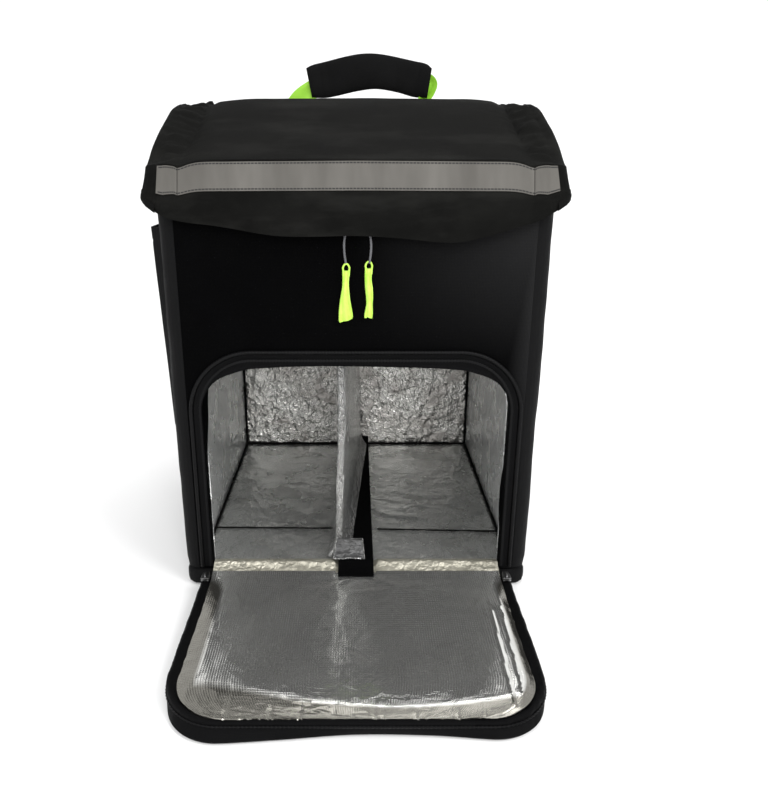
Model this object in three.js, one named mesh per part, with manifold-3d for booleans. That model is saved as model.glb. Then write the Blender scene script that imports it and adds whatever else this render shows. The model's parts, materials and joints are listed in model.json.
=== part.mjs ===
// An insulated delivery backpack that stands on its base, its front door unzipped and laid forward.
// Millimetres: +X is right seen from the front, +Y towards the wearer, +Z up, origin under the base's centre.

import * as THREE from 'three';
import { mergeVertices } from 'three/addons/utils/BufferGeometryUtils.js';
import Module from 'manifold-3d';

const wasm = await Module();
wasm.setup();

// Driving dimensions
const gap = 0.3;
const body = { width: 350, depth: 350, corner: 14, wall: 12, bulge: 2.5 };
const base = { thick: 20, softEdge: 6, proud: 1 };
const lid = {
  overSide: 9, overFront: 3, seamInset: 23, corner: 18, frontTop: 420, ridge: 480, crown: 8, pad: 10,
  cloth: 3, slack: 1, drop: 65, sideDrop: 36, flare: 11, tuck: 3, gather: 1.6, wave: 4, cornerDrop: 5,
  bindingThick: 1.2, bindingTurn: 0.9,
};
const lining = { thick: 2, belowFront: 18 };
const opening = { beside: 18, top: 250, radius: 60, tape: 10, tapeThick: 1.7, piping: 2 };
const divider = { thick: 8, height: 356, foot: 24, footHeight: 20, frontX: -17, backX: 3, wave: 2 };
const strip = { width: 36, thick: 1.4, onDoor: 11, upWall: 12 };
const door = {
  beside: 2, reach: 199, corner: 50, thick: 16, lip: 4.5, band: 8, rim: 22, rimSoft: 1, rimFoot: 2, droop: 0.12,
};
const doorFoil = { thick: 3, wave: 0.8, waveWidth: 23, waveLength: 31 };
const hinge = {
  beside: 11, gap: 11, thick: 2, crest: 28, onBase: 12, onDoor: 4, crinkle: 1.2, pleat: 22, stepFrom: 0.5, stepTo: 0.8,
};
const tape = { height: 25, thick: 1, below: 0.03, turn: 0.6 };
const zip = { width: 12, thick: 1.7, aboveHem: 13 };
const slider = { width: 8, height: 13, thick: 4 };
const pullTab = { length: 51, width: 14, thick: 4.5, top: 332 };
const cord = { diameter: 2 };
const handle = { centre: 4, halfSpan: 101, rise: 79, foot: 446, webbing: 25, thick: 3 };
const grip = { width: 41, thick: 14, from: -61, to: 89 };
const backPad = { halfWidth: 115, bottom: 62, top: 430, thick: 12, soft: 4, corner: 20 };
const strap = { x: 70, spread: 32, top: 418, bottom: 152, reach: 62, width: 62, thick: 10 };
const buckle = { width: 32, length: 26, thick: 5, bar: 4 };
const webbing = { width: 20, thick: 2 };
const anchor = { x: 135, width: 34, bottom: 50, height: 32, thick: 4, webbingFrom: 0.25, webbingTo: 0.7 };
const pocket = { from: -152, to: 56, bottom: 164, top: 361, stand: 10, heel: 2.5, cloth: 1.5, edge: 5 };

const front = -body.depth / 2;
const back = body.depth / 2;
const floorTop = base.thick + gap + lining.thick;
const inner = body.width / 2 - body.wall - gap;
const lidHalf = body.width / 2 + lid.overSide;
const lidFront = front - lid.overFront;
const lidSeam = body.width / 2 - lid.seamInset;
const openingHalf = body.width / 2 - opening.beside;
const doorHalf = openingHalf - door.beside;
const hingeHalf = openingHalf - hinge.beside;
const doorHinge = front - hinge.gap;

// The lid seen from the side, from its back edge (0) to its front edge (1), as shares of its rise to the ridge.
const lidProfile = [
  { along: 0, rise: 0.75 }, { along: 0.15, rise: 0.88 }, { along: 0.32, rise: 0.97 }, { along: 0.46, rise: 1 },
  { along: 0.53, rise: 0.98 }, { along: 0.64, rise: 0.79 }, { along: 0.8, rise: 0.42 }, { along: 1, rise: 0 },
];
// The lid seen from the front: its height as shares of the crown, its padding and how far the gathers reach.
const lidAcross = [
  { across: 0, lift: 0, pad: 1, gather: 0 }, { across: 0.3, lift: -0.05, pad: 1, gather: 0 },
  { across: 0.6, lift: -0.1, pad: 1, gather: 0.2 }, { across: 0.77, lift: -0.3, pad: 0.8, gather: 0.6 },
  { across: 0.826, lift: -0.7, pad: 0, gather: 0.3 }, { across: 0.86, lift: -0.4, pad: 0, gather: 1 },
  { across: 0.93, lift: -0.1, pad: 0, gather: 0.7 }, { across: 0.98, lift: 0, pad: 0, gather: 0.3 },
  { across: 1, lift: -0.4, pad: 0, gather: 0 },
];
// The front hem from left to right: its drop and how far it waves out.
const frontHem = [
  { across: -1, drop: 0.5, out: 0 }, { across: -0.92, drop: 0.69, out: 0 }, { across: -0.84, drop: 0.77, out: 0.3 },
  { across: -0.64, drop: 0.85, out: -0.2 }, { across: -0.36, drop: 0.97, out: 0.6 }, { across: 0, drop: 0.97, out: 0 },
  { across: 0.2, drop: 1, out: 0.2 }, { across: 0.5, drop: 1.06, out: 1 }, { across: 0.62, drop: 0.95, out: 0.2 },
  { across: 0.87, drop: 0.74, out: 0.4 }, { across: 1, drop: 0.5, out: 0 },
];
// How the lid's skirt falls from its rim to its hem.
const skirtLevels = [
  { fall: 0, flare: 0 }, { fall: 0.6, flare: 0.73 }, { fall: 0.8, flare: 0.95 }, { fall: 1, flare: 1 },
];
// How far the side walls bulge, from the base (0) to their top (1).
const sideBulge = [
  { height: 0, out: 0 }, { height: 0.15, out: 0.6 }, { height: 0.45, out: 1 }, { height: 0.75, out: 0.5 },
  { height: 0.88, out: 0 }, { height: 1, out: 0 },
];
// The foil strip between the floor and the door, from the floor (0) to the door (1).
const hingeFold = [
  { along: 0, rise: 0 }, { along: 0.15, rise: 0.05 }, { along: 0.32, rise: 0.55 }, { along: 0.48, rise: 1 },
  { along: 0.64, rise: 0.72 }, { along: 0.8, rise: 0.1 }, { along: 1, rise: 0 },
];
const handleArch = [
  { across: -1, rise: 0 }, { across: -0.99, rise: 0.29 }, { across: -0.85, rise: 0.53 }, { across: -0.61, rise: 0.73 },
  { across: -0.24, rise: 0.92 }, { across: 0.1, rise: 1 }, { across: 0.455, rise: 0.95 }, { across: 0.75, rise: 0.79 },
  { across: 0.92, rise: 0.57 }, { across: 0.99, rise: 0.29 }, { across: 1, rise: 0 },
];
const strapHang = [
  { down: 0, out: 0, side: 0, wide: 1 }, { down: 0.1, out: 0.12, side: 0, wide: 1 },
  { down: 0.3, out: 0.7, side: 0.1, wide: 1 }, { down: 0.5, out: 1, side: 0.35, wide: 0.97 },
  { down: 0.7, out: 0.92, side: 0.7, wide: 0.92 }, { down: 0.87, out: 0.62, side: 0.92, wide: 0.85 },
  { down: 1, out: 0.34, side: 1, wide: 0.7 },
];
const pullTabs = {
  left: { x: -9, lean: 0, rows: [
    { down: 0, wide: 0.45, end: 0 }, { down: 0.2, wide: 0.6, end: 0 }, { down: 0.55, wide: 0.75, end: 0 },
    { down: 0.85, wide: 1, end: 0 }, { down: 1, wide: 0.9, end: 0.12 },
  ] },
  right: { x: 12, lean: -2, rows: [
    { down: 0, wide: 0.5, end: 0 }, { down: 0.25, wide: 0.62, end: 0 }, { down: 0.5, wide: 0.5, end: 0 },
    { down: 0.8, wide: 0.62, end: 0 }, { down: 1, wide: 0.58, end: -0.06 },
  ] },
};
// The pull cords, as they hang from slider to pull: sideways of the pull, out from the front wall, and height.
const cordRoute = [
  { side: 0, out: 4.6, height: 362.4 }, { side: 0.6, out: 6, height: 356 }, { side: 1.4, out: 6.6, height: 349 },
  { side: 1.1, out: 5.8, height: 341 }, { side: 0, out: 3.8, height: 332.3 },
];

function finish(color, roughness, metalness = 0) {
  return new THREE.MeshStandardMaterial({ color, roughness, metalness });
}

// A smooth reading between the rows of a table.
function read(rows, key, column, at) {
  const last = rows.length - 1;
  const x = THREE.MathUtils.clamp(at, rows[0][key], rows[last][key]);
  let i = 0;
  while (i < last - 1 && rows[i + 1][key] <= x) i += 1;
  const slope = k => {
    const a = rows[Math.max(k - 1, 0)];
    const b = rows[Math.min(k + 1, last)];
    return (b[column] - a[column]) / (b[key] - a[key]);
  };
  const step = rows[i + 1][key] - rows[i][key];
  const s = (x - rows[i][key]) / step;
  const start = rows[i][column] * (1 + 2 * s) * (1 - s) ** 2 + slope(i) * step * s * (1 - s) ** 2;
  return start + rows[i + 1][column] * s * s * (3 - 2 * s) + slope(i + 1) * step * s * s * (s - 1);
}

// A straight reading between the rows of a table.
function readStraight(rows, key, column, at) {
  const last = rows.length - 1;
  const x = THREE.MathUtils.clamp(at, rows[0][key], rows[last][key]);
  let i = 0;
  while (i < last - 1 && rows[i + 1][key] <= x) i += 1;
  const s = (x - rows[i][key]) / (rows[i + 1][key] - rows[i][key]);
  return THREE.MathUtils.lerp(rows[i][column], rows[i + 1][column], s);
}

const steps = (count, from = 0, to = 1) => Array.from({ length: count + 1 }, (_, i) => from + (to - from) * i / count);

// A geometry from points and triangles, turned inside out if its volume comes out negative.
function solidFrom(points, triangles) {
  const volume = triangles.reduce((sum, [a, b, c]) => (
    sum + points[a].dot(new THREE.Vector3().crossVectors(points[b], points[c]))), 0);
  const faces = volume < 0 ? triangles.map(([a, b, c]) => [a, c, b]) : triangles;
  const geometry = new THREE.BufferGeometry();
  geometry.setAttribute('position', new THREE.Float32BufferAttribute(points.flatMap(p => [p.x, p.y, p.z]), 3));
  geometry.setIndex(faces.flat());
  geometry.computeVertexNormals();
  return geometry;
}

// A closed sheet of cloth from patches, each with a grid of outer points and a matching grid of inner ones.
function thickSheet(...patches) {
  const points = [];
  const ids = new Map();
  const innerOf = new Map();
  const idOf = p => {
    const key = [p.x, p.y, p.z].map(value => Math.round(value * 1000)).join(' ');
    if (!ids.has(key)) {
      ids.set(key, points.length);
      points.push(p);
    }
    return ids.get(key);
  };
  const quads = patches.flatMap(({ outer, face }) => outer.slice(1).flatMap((row, r) => row.slice(1).map((_, c) => {
    const cell = [[r, c], [r, c + 1], [r + 1, c + 1], [r + 1, c]];
    return cell.map(([i, j]) => {
      const id = idOf(outer[i][j]);
      innerOf.set(id, idOf(face[i][j]));
      return id;
    });
  })));
  const edges = new Set(quads.flatMap(quad => quad.map((id, k) => `${id} ${quad[(k + 1) % 4]}`)));
  const triangles = [];
  const addQuad = (a, b, c, d) => triangles.push([a, b, c], [a, c, d]);
  for (const quad of quads) {
    const [a, b, c, d] = quad.map(id => innerOf.get(id));
    addQuad(...quad);
    addQuad(a, d, c, b);
    quad.forEach((id, k) => {
      const next = quad[(k + 1) % 4];
      if (!edges.has(`${next} ${id}`)) addQuad(next, id, innerOf.get(id), innerOf.get(next));
    });
  }
  return solidFrom(points, triangles);
}

// A grid of points, worked out row by row.
const grid = (rows, columns, at) => rows.map(row => columns.map(column => at(row, column)));

// A closed solid through rings of points that share one outline, given anticlockwise as { out, up }.
function ringSolid(rings, outline) {
  const size = outline.length;
  const flat = outline.map(({ out, up }) => new THREE.Vector2(out, up));
  const triangles = [];
  for (let r = 0; r < rings.length - 1; r += 1) {
    for (let k = 0; k < size; k += 1) {
      const [a, b] = [r * size + k, r * size + (k + 1) % size];
      triangles.push([a, b, b + size], [a, b + size, a + size]);
    }
  }
  const last = (rings.length - 1) * size;
  for (const [a, b, c] of THREE.ShapeUtils.triangulateShape(flat, [])) {
    const turned = THREE.ShapeUtils.area([flat[a], flat[b], flat[c]]) < 0;
    const [u, v] = turned ? [c, b] : [b, c];
    triangles.push([a, v, u], [a + last, u + last, v + last]);
  }
  return solidFrom(rings.flat(), triangles);
}

// Points round three sides of a rectangle whose two far corners are round; it starts and ends at the open side.
function threeSides(half, length, radius, { side, corner, far }) {
  const arc = (centreX, from, to) => steps(corner, from, to).map(angle => new THREE.Vector2(
    centreX + radius * Math.cos(angle), length - radius + radius * Math.sin(angle)));
  const left = steps(side, 0, length - radius).slice(0, -1).map(y => new THREE.Vector2(-half, y));
  const top = steps(far, -half + radius, half - radius).slice(1, -1).map(x => new THREE.Vector2(x, length));
  const right = left.map(p => new THREE.Vector2(half, p.y)).reverse();
  const [leftArc, rightArc] = [arc(-half + radius, Math.PI, Math.PI / 2), arc(half - radius, Math.PI / 2, 0)];
  return [...left, ...leftArc, ...top, ...rightArc, ...right];
}

// The outward direction at each point of an open outline that runs clockwise, long enough to keep offsets even.
function outwards(points) {
  const normal = (a, b) => new THREE.Vector2(a.y - b.y, b.x - a.x).normalize();
  return points.map((p, i) => {
    const before = i > 0 ? normal(points[i - 1], p) : normal(p, points[1]);
    const after = i < points.length - 1 ? normal(p, points[i + 1]) : before;
    return before.clone().add(after).multiplyScalar(1 / (1 + before.dot(after)));
  });
}

// A section swept along an outline: place turns (a, b, up) into a point.
function sweep(points, section, place) {
  const directions = outwards(points);
  const rings = points.map((p, i) => section.map(({ out, up }) => (
    place(p.x + directions[i].x * out, p.y + directions[i].y * out, up, i))));
  return ringSolid(rings, section);
}

const rectangle = (outFrom, outTo, upFrom, upTo) => [
  { out: outFrom, up: upFrom }, { out: outTo, up: upFrom }, { out: outTo, up: upTo }, { out: outFrom, up: upTo },
];
const flatOval = (width, thick, sides) => steps(sides).slice(0, -1).map(share => {
  const angle = 2 * Math.PI * share;
  return { out: width / 2 * Math.cos(angle), up: thick / 2 * Math.sin(angle) };
});
const band = (width, thick) => rectangle(-width / 2, width / 2, -thick / 2, thick / 2);

// A band that follows a curve: section(share) gives its outline and hint the way that its flat face looks.
function ribbon(curve, count, hint, section) {
  const rings = steps(count).map(share => {
    const tangent = curve.getTangentAt(share);
    const up = hint.clone().addScaledVector(tangent, -hint.dot(tangent)).normalize();
    const across = new THREE.Vector3().crossVectors(tangent, up);
    return section(share).map(s => curve.getPointAt(share).addScaledVector(across, s.out).addScaledVector(up, s.up));
  });
  return ringSolid(rings, section(0));
}

const toManifold = geometry => {
  const bare = geometry.clone();
  bare.deleteAttribute('normal');
  bare.deleteAttribute('uv');
  const merged = mergeVertices(bare, gap / 100);
  return new wasm.Manifold(new wasm.Mesh({
    numProp: 3, vertProperties: merged.attributes.position.array, triVerts: Uint32Array.from(merged.index.array),
  }));
};

function fromManifold(solid) {
  const mesh = solid.getMesh();
  const geometry = new THREE.BufferGeometry();
  geometry.setAttribute('position', new THREE.BufferAttribute(Float32Array.from(mesh.vertProperties), 3));
  geometry.setIndex(Array.from(mesh.triVerts));
  geometry.computeVertexNormals();
  return geometry;
}

const cut = (geometry, ...tools) => fromManifold(
  tools.reduce((solid, tool) => solid.subtract(toManifold(tool)), toManifold(geometry)));

const boxBetween = (x0, x1, y0, y1, z0, z1) => new THREE.BoxGeometry(x1 - x0, y1 - y0, z1 - z0)
  .translate((x0 + x1) / 2, (y0 + y1) / 2, (z0 + z1) / 2);

// A shape drawn as seen from the front, given its depth towards the wearer.
const fromFront = (shape, depth, y, options = {}) => new THREE.ExtrudeGeometry(shape, {
  depth, bevelEnabled: false, curveSegments: 4, ...options,
}).rotateX(Math.PI / 2).translate(0, y + depth, 0);

// The lid's top at a depth, and the lowest that its underside comes there between two shares across.
const lidAlong = y => (back - y) / (back - lidFront);
const lidTop = y => lid.frontTop + (lid.ridge - lid.frontTop) * read(lidProfile, 'along', 'rise', lidAlong(y));
const lidThick = (pad, y) => (
  lid.cloth + (lid.pad - lid.cloth) * pad * THREE.MathUtils.clamp((y - lidFront) / lid.corner, 0, 1));
function lidUnder(y, from, to) {
  const shares = steps(20, from, to).map(across => {
    const value = column => readStraight(lidAcross, 'across', column, across);
    return value('lift') * lid.crown - value('gather') * lid.gather - lidThick(value('pad'), y);
  });
  return lidTop(y) + Math.min(...shares);
}

const sideShare = (body.width / 2 - body.wall) / lidHalf;
const sideTop = y => (
  Math.min(lidUnder(y, sideShare, body.width / 2 / lidHalf), lidTop(y) - lid.crown) - 2 * lid.slack);
const frontTop = Math.min(lidUnder(front, 0, sideShare), lidUnder(front + body.wall, 0, sideShare)) - gap - lid.slack;
const backTop = lidUnder(back, 0, sideShare) - gap;
const liningTop = frontTop - lining.belowFront;

// The side wall's outer face at a place and a height.
function sideOut(y, z) {
  const height = (z - base.thick) / (sideTop(y) - base.thick);
  const along = 2 * y / (body.depth - 2 * body.corner);
  return body.bulge * readStraight(sideBulge, 'height', 'out', height) * Math.max(0, 1 - along ** 4);
}

function basePanel() {
  const half = body.width / 2 + base.proud - base.softEdge;
  const depth = body.depth / 2 + base.proud - base.softEdge;
  const shape = roundedRectangle(half, depth, body.corner);
  return new THREE.ExtrudeGeometry(shape, {
    depth: base.thick - 2 * base.softEdge, bevelThickness: base.softEdge, bevelSize: base.softEdge,
    bevelSegments: 3, curveSegments: 4,
  }).translate(0, 0, base.softEdge);
}

function roundedRectangle(halfX, halfY, radius) {
  const shape = new THREE.Shape();
  shape.absarc(halfX - radius, halfY - radius, radius, 0, Math.PI / 2);
  shape.absarc(radius - halfX, halfY - radius, radius, Math.PI / 2, Math.PI);
  shape.absarc(radius - halfX, radius - halfY, radius, Math.PI, 1.5 * Math.PI);
  shape.absarc(halfX - radius, radius - halfY, radius, 1.5 * Math.PI, 2 * Math.PI);
  return shape;
}

// The arch of the door opening, drawn in by some millimetres from the piping's line.
const archSteps = { side: 4, corner: 7, far: 4 };
function arch(inset, sill) {
  const lift = p => new THREE.Vector2(p.x, p.y + sill);
  return threeSides(
    openingHalf - inset, opening.top - inset - sill, opening.radius - inset, archSteps).map(lift);
}

function frontPanel() {
  const half = body.width / 2 - body.corner - gap;
  const bottom = base.thick + gap;
  const hole = arch(opening.tape, bottom);
  const corners = [[half, bottom], [half, frontTop], [-half, frontTop], [-half, bottom]];
  const shape = new THREE.Shape([...hole, ...corners.map(([x, z]) => new THREE.Vector2(x, z))]);
  return fromFront(shape, body.wall, front);
}

// The plan of a side wall from the front corner to the back one, with its outward directions.
function sidePlan() {
  const reach = body.depth / 2 - body.corner;
  const centre = body.width / 2 - body.corner;
  const corner = (y, from) => steps(3).map(share => {
    const angle = from + share * Math.PI / 2;
    return { x: centre, y, nx: Math.cos(angle), ny: Math.sin(angle) };
  });
  const flat = steps(9, -reach, reach).slice(1, -1).map(y => ({ x: centre, y, nx: 1, ny: 0 }));
  return [...corner(-reach, -Math.PI / 2), ...flat, ...corner(reach, 0)];
}

function sidePanel(side) {
  const plan = sidePlan();
  const rows = [0, ...sideBulge.slice(1, -1).map(row => row.height), 1];
  const bottom = base.thick + gap;
  const at = depth => (height, p) => {
    const y = p.y + p.ny * body.corner;
    const z = bottom + height * (sideTop(y) - bottom);
    const radius = body.corner - depth + (depth ? 0 : p.nx * sideOut(p.y, z));
    return new THREE.Vector3(side * (p.x + p.nx * radius), p.y + p.ny * radius, z);
  };
  return thickSheet({ outer: grid(rows, plan, at(0)), face: grid(rows, plan, at(body.wall)) });
}

function backPanel() {
  const half = body.width / 2 - body.corner - gap;
  return boxBetween(-half, half, back - body.wall, back, base.thick + gap, backTop);
}

function foilLining() {
  const wall = lining.thick;
  const bottom = base.thick + gap;
  const corner = body.corner - body.wall - gap;
  const shell = new THREE.ExtrudeGeometry(roundedRectangle(inner, body.depth / 2 - body.wall - gap, corner), {
    depth: liningTop - bottom, bevelEnabled: false, curveSegments: 3,
  }).translate(0, 0, bottom);
  const [from, to] = [front + body.wall + gap + wall, back - body.wall - gap - wall];
  const hollow = boxBetween(wall - inner, inner - wall, from, to, floorTop, liningTop + wall);
  const hole = fromFront(new THREE.Shape(arch(opening.tape, floorTop)), 3 * wall, front + body.wall - wall);
  return cut(shell, hollow, hole);
}

// The board leans across the floor from front to back, widens at its foot and bows a little.
const stripWall = back - body.wall - lining.thick - 2 * gap - strip.thick / 2;
const dividerX = y => THREE.MathUtils.mapLinear(y, front, back, divider.frontX, divider.backX);
function dividerBoard() {
  const bottom = floorTop + 2 * gap + strip.thick;
  const from = front + body.wall + gap + lining.thick + gap;
  const to = stripWall - 3 * strip.thick;
  const heights = [0, 0.3, 1].map(share => share * divider.footHeight);
  const rows = [...heights, ...steps(4, divider.footHeight, divider.height).slice(1)];
  const columns = steps(8, from, to);
  const at = side => (height, y) => {
    const foot = (divider.foot - divider.thick) * Math.max(0, 1 - height / divider.footHeight) ** 2;
    const bow = divider.wave * Math.sin(height / divider.height * Math.PI * 2 + y / body.depth * Math.PI);
    return new THREE.Vector3(dividerX(y) + bow + side * (divider.thick + foot) / 2, y, bottom + height);
  };
  return thickSheet({ outer: grid(rows, columns, at(1)), face: grid(rows, columns, at(-1)) });
}

const hingeDepth = hinge.onBase + (front - doorHinge) + hinge.onDoor;
function hingeUnder(y) {
  const along = (front + hinge.onBase - y) / hingeDepth;
  const step = THREE.MathUtils.smoothstep(along, hinge.stepFrom, hinge.stepTo);
  const low = THREE.MathUtils.lerp(base.thick, door.thick, step) + gap;
  return low + (hinge.crest - base.thick) * read(hingeFold, 'along', 'rise', along);
}

function doorHingeStrip() {
  const columns = steps(28, -hingeHalf, hingeHalf);
  const rows = hingeFold.map(row => front + hinge.onBase - row.along * hingeDepth);
  const at = lift => (y, x) => {
    const free = Math.abs(x) > (strip.width + hinge.pleat) / 2 ? 1 : 0;
    const inside = y < front + hinge.onBase && y > doorHinge - hinge.onDoor ? 1 : 0;
    const crinkle = hinge.crinkle * free * inside * (1 + Math.sin(2 * Math.PI * x / hinge.pleat)) / 2;
    return new THREE.Vector3(x, y, hingeUnder(y) + lift + crinkle);
  };
  return thickSheet({ outer: grid(rows, columns, at(hinge.thick)), face: grid(rows, columns, at(0)) });
}

function floorStrip() {
  const lift = gap + strip.thick / 2;
  const doorTop = door.thick + gap + doorFoil.thick + doorFoil.wave;
  const overHinge = hingeFold.slice(1, -2).reverse().map(row => {
    const y = front + hinge.onBase - row.along * hingeDepth;
    return [y, Math.max(hingeUnder(y) + hinge.thick, floorTop) + lift + gap];
  });
  const nearDoor = doorHinge - hinge.onDoor;
  const route = [
    [nearDoor - strip.onDoor, doorTop + lift], [nearDoor, doorTop + lift], ...overHinge,
    [front + hinge.onBase + strip.thick, floorTop + lift], [stripWall - 2 * strip.thick, floorTop + lift],
    [stripWall, floorTop + lift + 2 * strip.thick], [stripWall, floorTop + lift + strip.upWall],
  ];
  const outline = route.map(([y, z]) => new THREE.Vector2(y, z));
  const section = rectangle(-strip.thick / 2, strip.thick / 2, -strip.width / 2, strip.width / 2);
  return sweep(outline, section, (y, z, x) => new THREE.Vector3(x, y, z));
}

const doorSteps = { side: 5, corner: 6, far: 6 };
const doorOutline = (inset, start) => threeSides(
  doorHalf - inset, door.reach - inset - start, door.corner - inset, doorSteps)
  .map(p => new THREE.Vector2(p.x, p.y + start));
const doorPlace = (x, along, up) => {
  const far = THREE.MathUtils.smoothstep(along, door.reach - door.corner, door.reach);
  return new THREE.Vector3(x, doorHinge - along, up * (1 - door.droop * far));
};

// A layer of the door from the hinge to its round far corners, with its underside and top at given heights.
function doorLayer(inset, start, columns, low, high) {
  const half = doorHalf - inset;
  const length = door.reach - inset;
  const radius = door.corner - inset;
  const round = steps(doorSteps.corner).slice(1).map(share => (
    length - radius + radius * Math.sin(share * Math.PI / 2)));
  const rows = [...steps(6, start, length - radius), ...round];
  const at = up => (along, share) => {
    const past = Math.max(0, along - length + radius);
    const x = share * (half - radius + Math.sqrt(Math.max(0, radius * radius - past * past)));
    return doorPlace(x, along, up(x, along));
  };
  return thickSheet({ outer: grid(rows, columns, at(high)), face: grid(rows, columns, at(low)) });
}

const doorPanel = () => doorLayer(door.lip + gap, 0, steps(6, -1, 1), () => 0, () => door.thick);

function doorLining() {
  const low = door.thick + gap;
  const wave = (x, along) => doorFoil.wave * Math.sin(x / doorFoil.waveWidth + along / doorFoil.waveLength);
  return doorLayer(
    door.lip + door.band + 2 * gap, hinge.onDoor + gap, steps(12, -1, 1), () => low,
    (x, along) => low + doorFoil.thick + wave(x, along));
}

function doorZipTape() {
  const low = door.thick + gap;
  const section = [
    { out: gap, up: door.rimFoot }, { out: door.lip - door.rimSoft, up: door.rimFoot },
    { out: door.lip, up: door.thick / 2 }, { out: door.lip, up: door.rim - door.rimSoft },
    { out: door.rimSoft, up: door.rim }, { out: -door.band, up: low + doorFoil.thick },
    { out: -door.band, up: low }, { out: gap, up: low },
  ];
  return sweep(doorOutline(door.lip + gap, hinge.onDoor + gap), section, doorPlace);
}

function doorSlider(side) {
  const x = side * (doorHalf - door.lip - gap);
  const y = doorHinge - hinge.onDoor - slider.height;
  const low = door.rim + gap;
  return boxBetween(x - slider.width / 2, x + slider.width / 2, y, y + slider.height, low, low + slider.thick);
}

const openingPlace = (x, z, up) => new THREE.Vector3(x, front - up, z);
const openingSill = base.thick + 2 * opening.piping;

function openingZipTape() {
  const section = rectangle(-opening.tape, -opening.piping - gap, gap, gap + opening.tapeThick);
  return sweep(arch(0, openingSill), section, openingPlace);
}

function openingPiping() {
  const round = flatOval(2 * opening.piping, 2 * opening.piping, 6)
    .map(({ out, up }) => ({ out, up: up + gap + opening.piping }));
  return sweep(arch(0, openingSill), round, openingPlace);
}

// The lid's rows from back to front, which crowd together round its front corners.
const lidRows = [
  ...steps(15, back, lidFront + lid.corner).slice(0, -1),
  ...steps(3).map(share => lidFront + lid.corner - lid.corner * Math.sin(share * Math.PI / 2)),
];
const lidColumns = [
  ...lidAcross.slice(1).reverse().map(row => ({ ...row, across: -row.across })), ...lidAcross,
];

function lidPoint(y, column, row) {
  const past = Math.max(0, lidFront + lid.corner - y);
  const inset = lid.corner - Math.sqrt(Math.max(0, lid.corner ** 2 - past ** 2));
  const seamShare = lidSeam / lidHalf;
  const outer = Math.max(0, (Math.abs(column.across) - seamShare) / (1 - seamShare));
  const x = column.across * lidHalf - Math.sign(column.across) * inset * outer;
  const drop = lid.cornerDrop * outer * past / lid.corner;
  const ripple = column.gather * lid.gather * (row % 2 ? 1 : -1) * (past > 0 ? 0 : 1);
  return new THREE.Vector3(x, y, lidTop(y) + column.lift * lid.crown - drop + ripple);
}

// The rim runs from the back left, round the front, to the back right.
function lidRim() {
  const last = lidColumns.length - 1;
  const rows = lidRows.length - 1;
  const side = (sign, column) => lidRows.map((y, row) => {
    const past = Math.max(0, lidFront + lid.corner - y) / lid.corner;
    return { point: lidPoint(y, lidColumns[column], row), nx: sign * Math.sqrt(1 - past ** 2), ny: -past };
  });
  const middle = lidColumns.slice(1, -1).map(column => (
    { point: lidPoint(lidRows[rows], column, rows), nx: 0, ny: -1 }));
  return [...side(-1, 0), ...middle, ...side(1, last).reverse()];
}

function hemAt({ point, ny }) {
  const across = point.x / lidHalf;
  const side = lidTop(point.y) - lid.sideDrop;
  const low = lid.frontTop - lid.drop * read(frontHem, 'across', 'drop', across);
  return THREE.MathUtils.lerp(side, low, -ny);
}

// A point on the lid's skirt at a share of its fall, out from its outer face by some millimetres.
function skirtPoint(station, fall, out) {
  const { point, nx, ny } = station;
  const total = point.z - hemAt(station);
  const first = Math.min(tape.height + 1, total * skirtLevels[1].fall);
  const level = fall <= skirtLevels[1].fall
    ? first * fall / skirtLevels[1].fall
    : THREE.MathUtils.mapLinear(fall, skirtLevels[1].fall, 1, first, total);
  const flare = readStraight(skirtLevels, 'fall', 'flare', fall) * THREE.MathUtils.lerp(-lid.tuck, lid.flare, -ny);
  const low = Math.max(0, fall - skirtLevels[1].fall) / (1 - skirtLevels[1].fall);
  const wave = lid.wave * low * -ny * read(frontHem, 'across', 'out', point.x / lidHalf);
  const reach = flare + wave + out;
  return new THREE.Vector3(point.x + nx * reach, point.y + ny * reach, point.z - level);
}

function lidFlap() {
  const last = lidRows.length - 1;
  const rim = lidRim();
  const innerRim = new Map(rim.map(({ point, nx, ny }) => [
    `${point.x.toFixed(3)} ${point.y.toFixed(3)}`,
    new THREE.Vector3(point.x - nx * lid.cloth, point.y - ny * lid.cloth, point.z - lid.cloth)]));
  const outer = grid([...lidRows.keys()], lidColumns, (row, column) => lidPoint(lidRows[row], column, row));
  const face = grid([...lidRows.keys()], lidColumns, (row, column) => {
    const p = lidPoint(lidRows[row], column, row);
    const edge = row === last || Math.abs(column.across) === 1;
    if (edge) return innerRim.get(`${p.x.toFixed(3)} ${p.y.toFixed(3)}`);
    return p.setZ(p.z - lidThick(column.pad, p.y));
  });
  const skirt = depth => skirtLevels.map(({ fall }) => rim.map(station => (
    fall === 0 && depth ? innerRim.get(`${station.point.x.toFixed(3)} ${station.point.y.toFixed(3)}`)
      : skirtPoint(station, fall, -depth))));
  return thickSheet({ outer, face }, { outer: skirt(0), face: skirt(lid.cloth) });
}

// A strip laid on the lid's skirt between two shares of its fall, over the stations that keep says.
function onSkirt(keep, from, to, thick) {
  const stations = lidRim().filter(keep);
  const layer = out => [from, to].map(fall => stations.map(station => skirtPoint(station, fall, out)));
  return thickSheet({ outer: layer(gap + thick), face: layer(gap) });
}

const tapeBottom = skirtLevels[1].fall * tape.height / (tape.height + 1);
const seamLine = lidSeam + gap;
const reflectiveTape = () => onSkirt(
  ({ point, ny }) => ny === -1 && Math.abs(point.x) <= seamLine, tape.below, tapeBottom, tape.thick);
const tapeTab = side => onSkirt(
  ({ point, ny }) => ny < -tape.turn && side * point.x > seamLine, tape.below, tapeBottom, tape.thick);
const lidBinding = side => onSkirt(
  ({ ny, point }) => ny > -lid.bindingTurn && side * point.x > 0, skirtLevels[2].fall, 1, lid.bindingThick);

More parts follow.
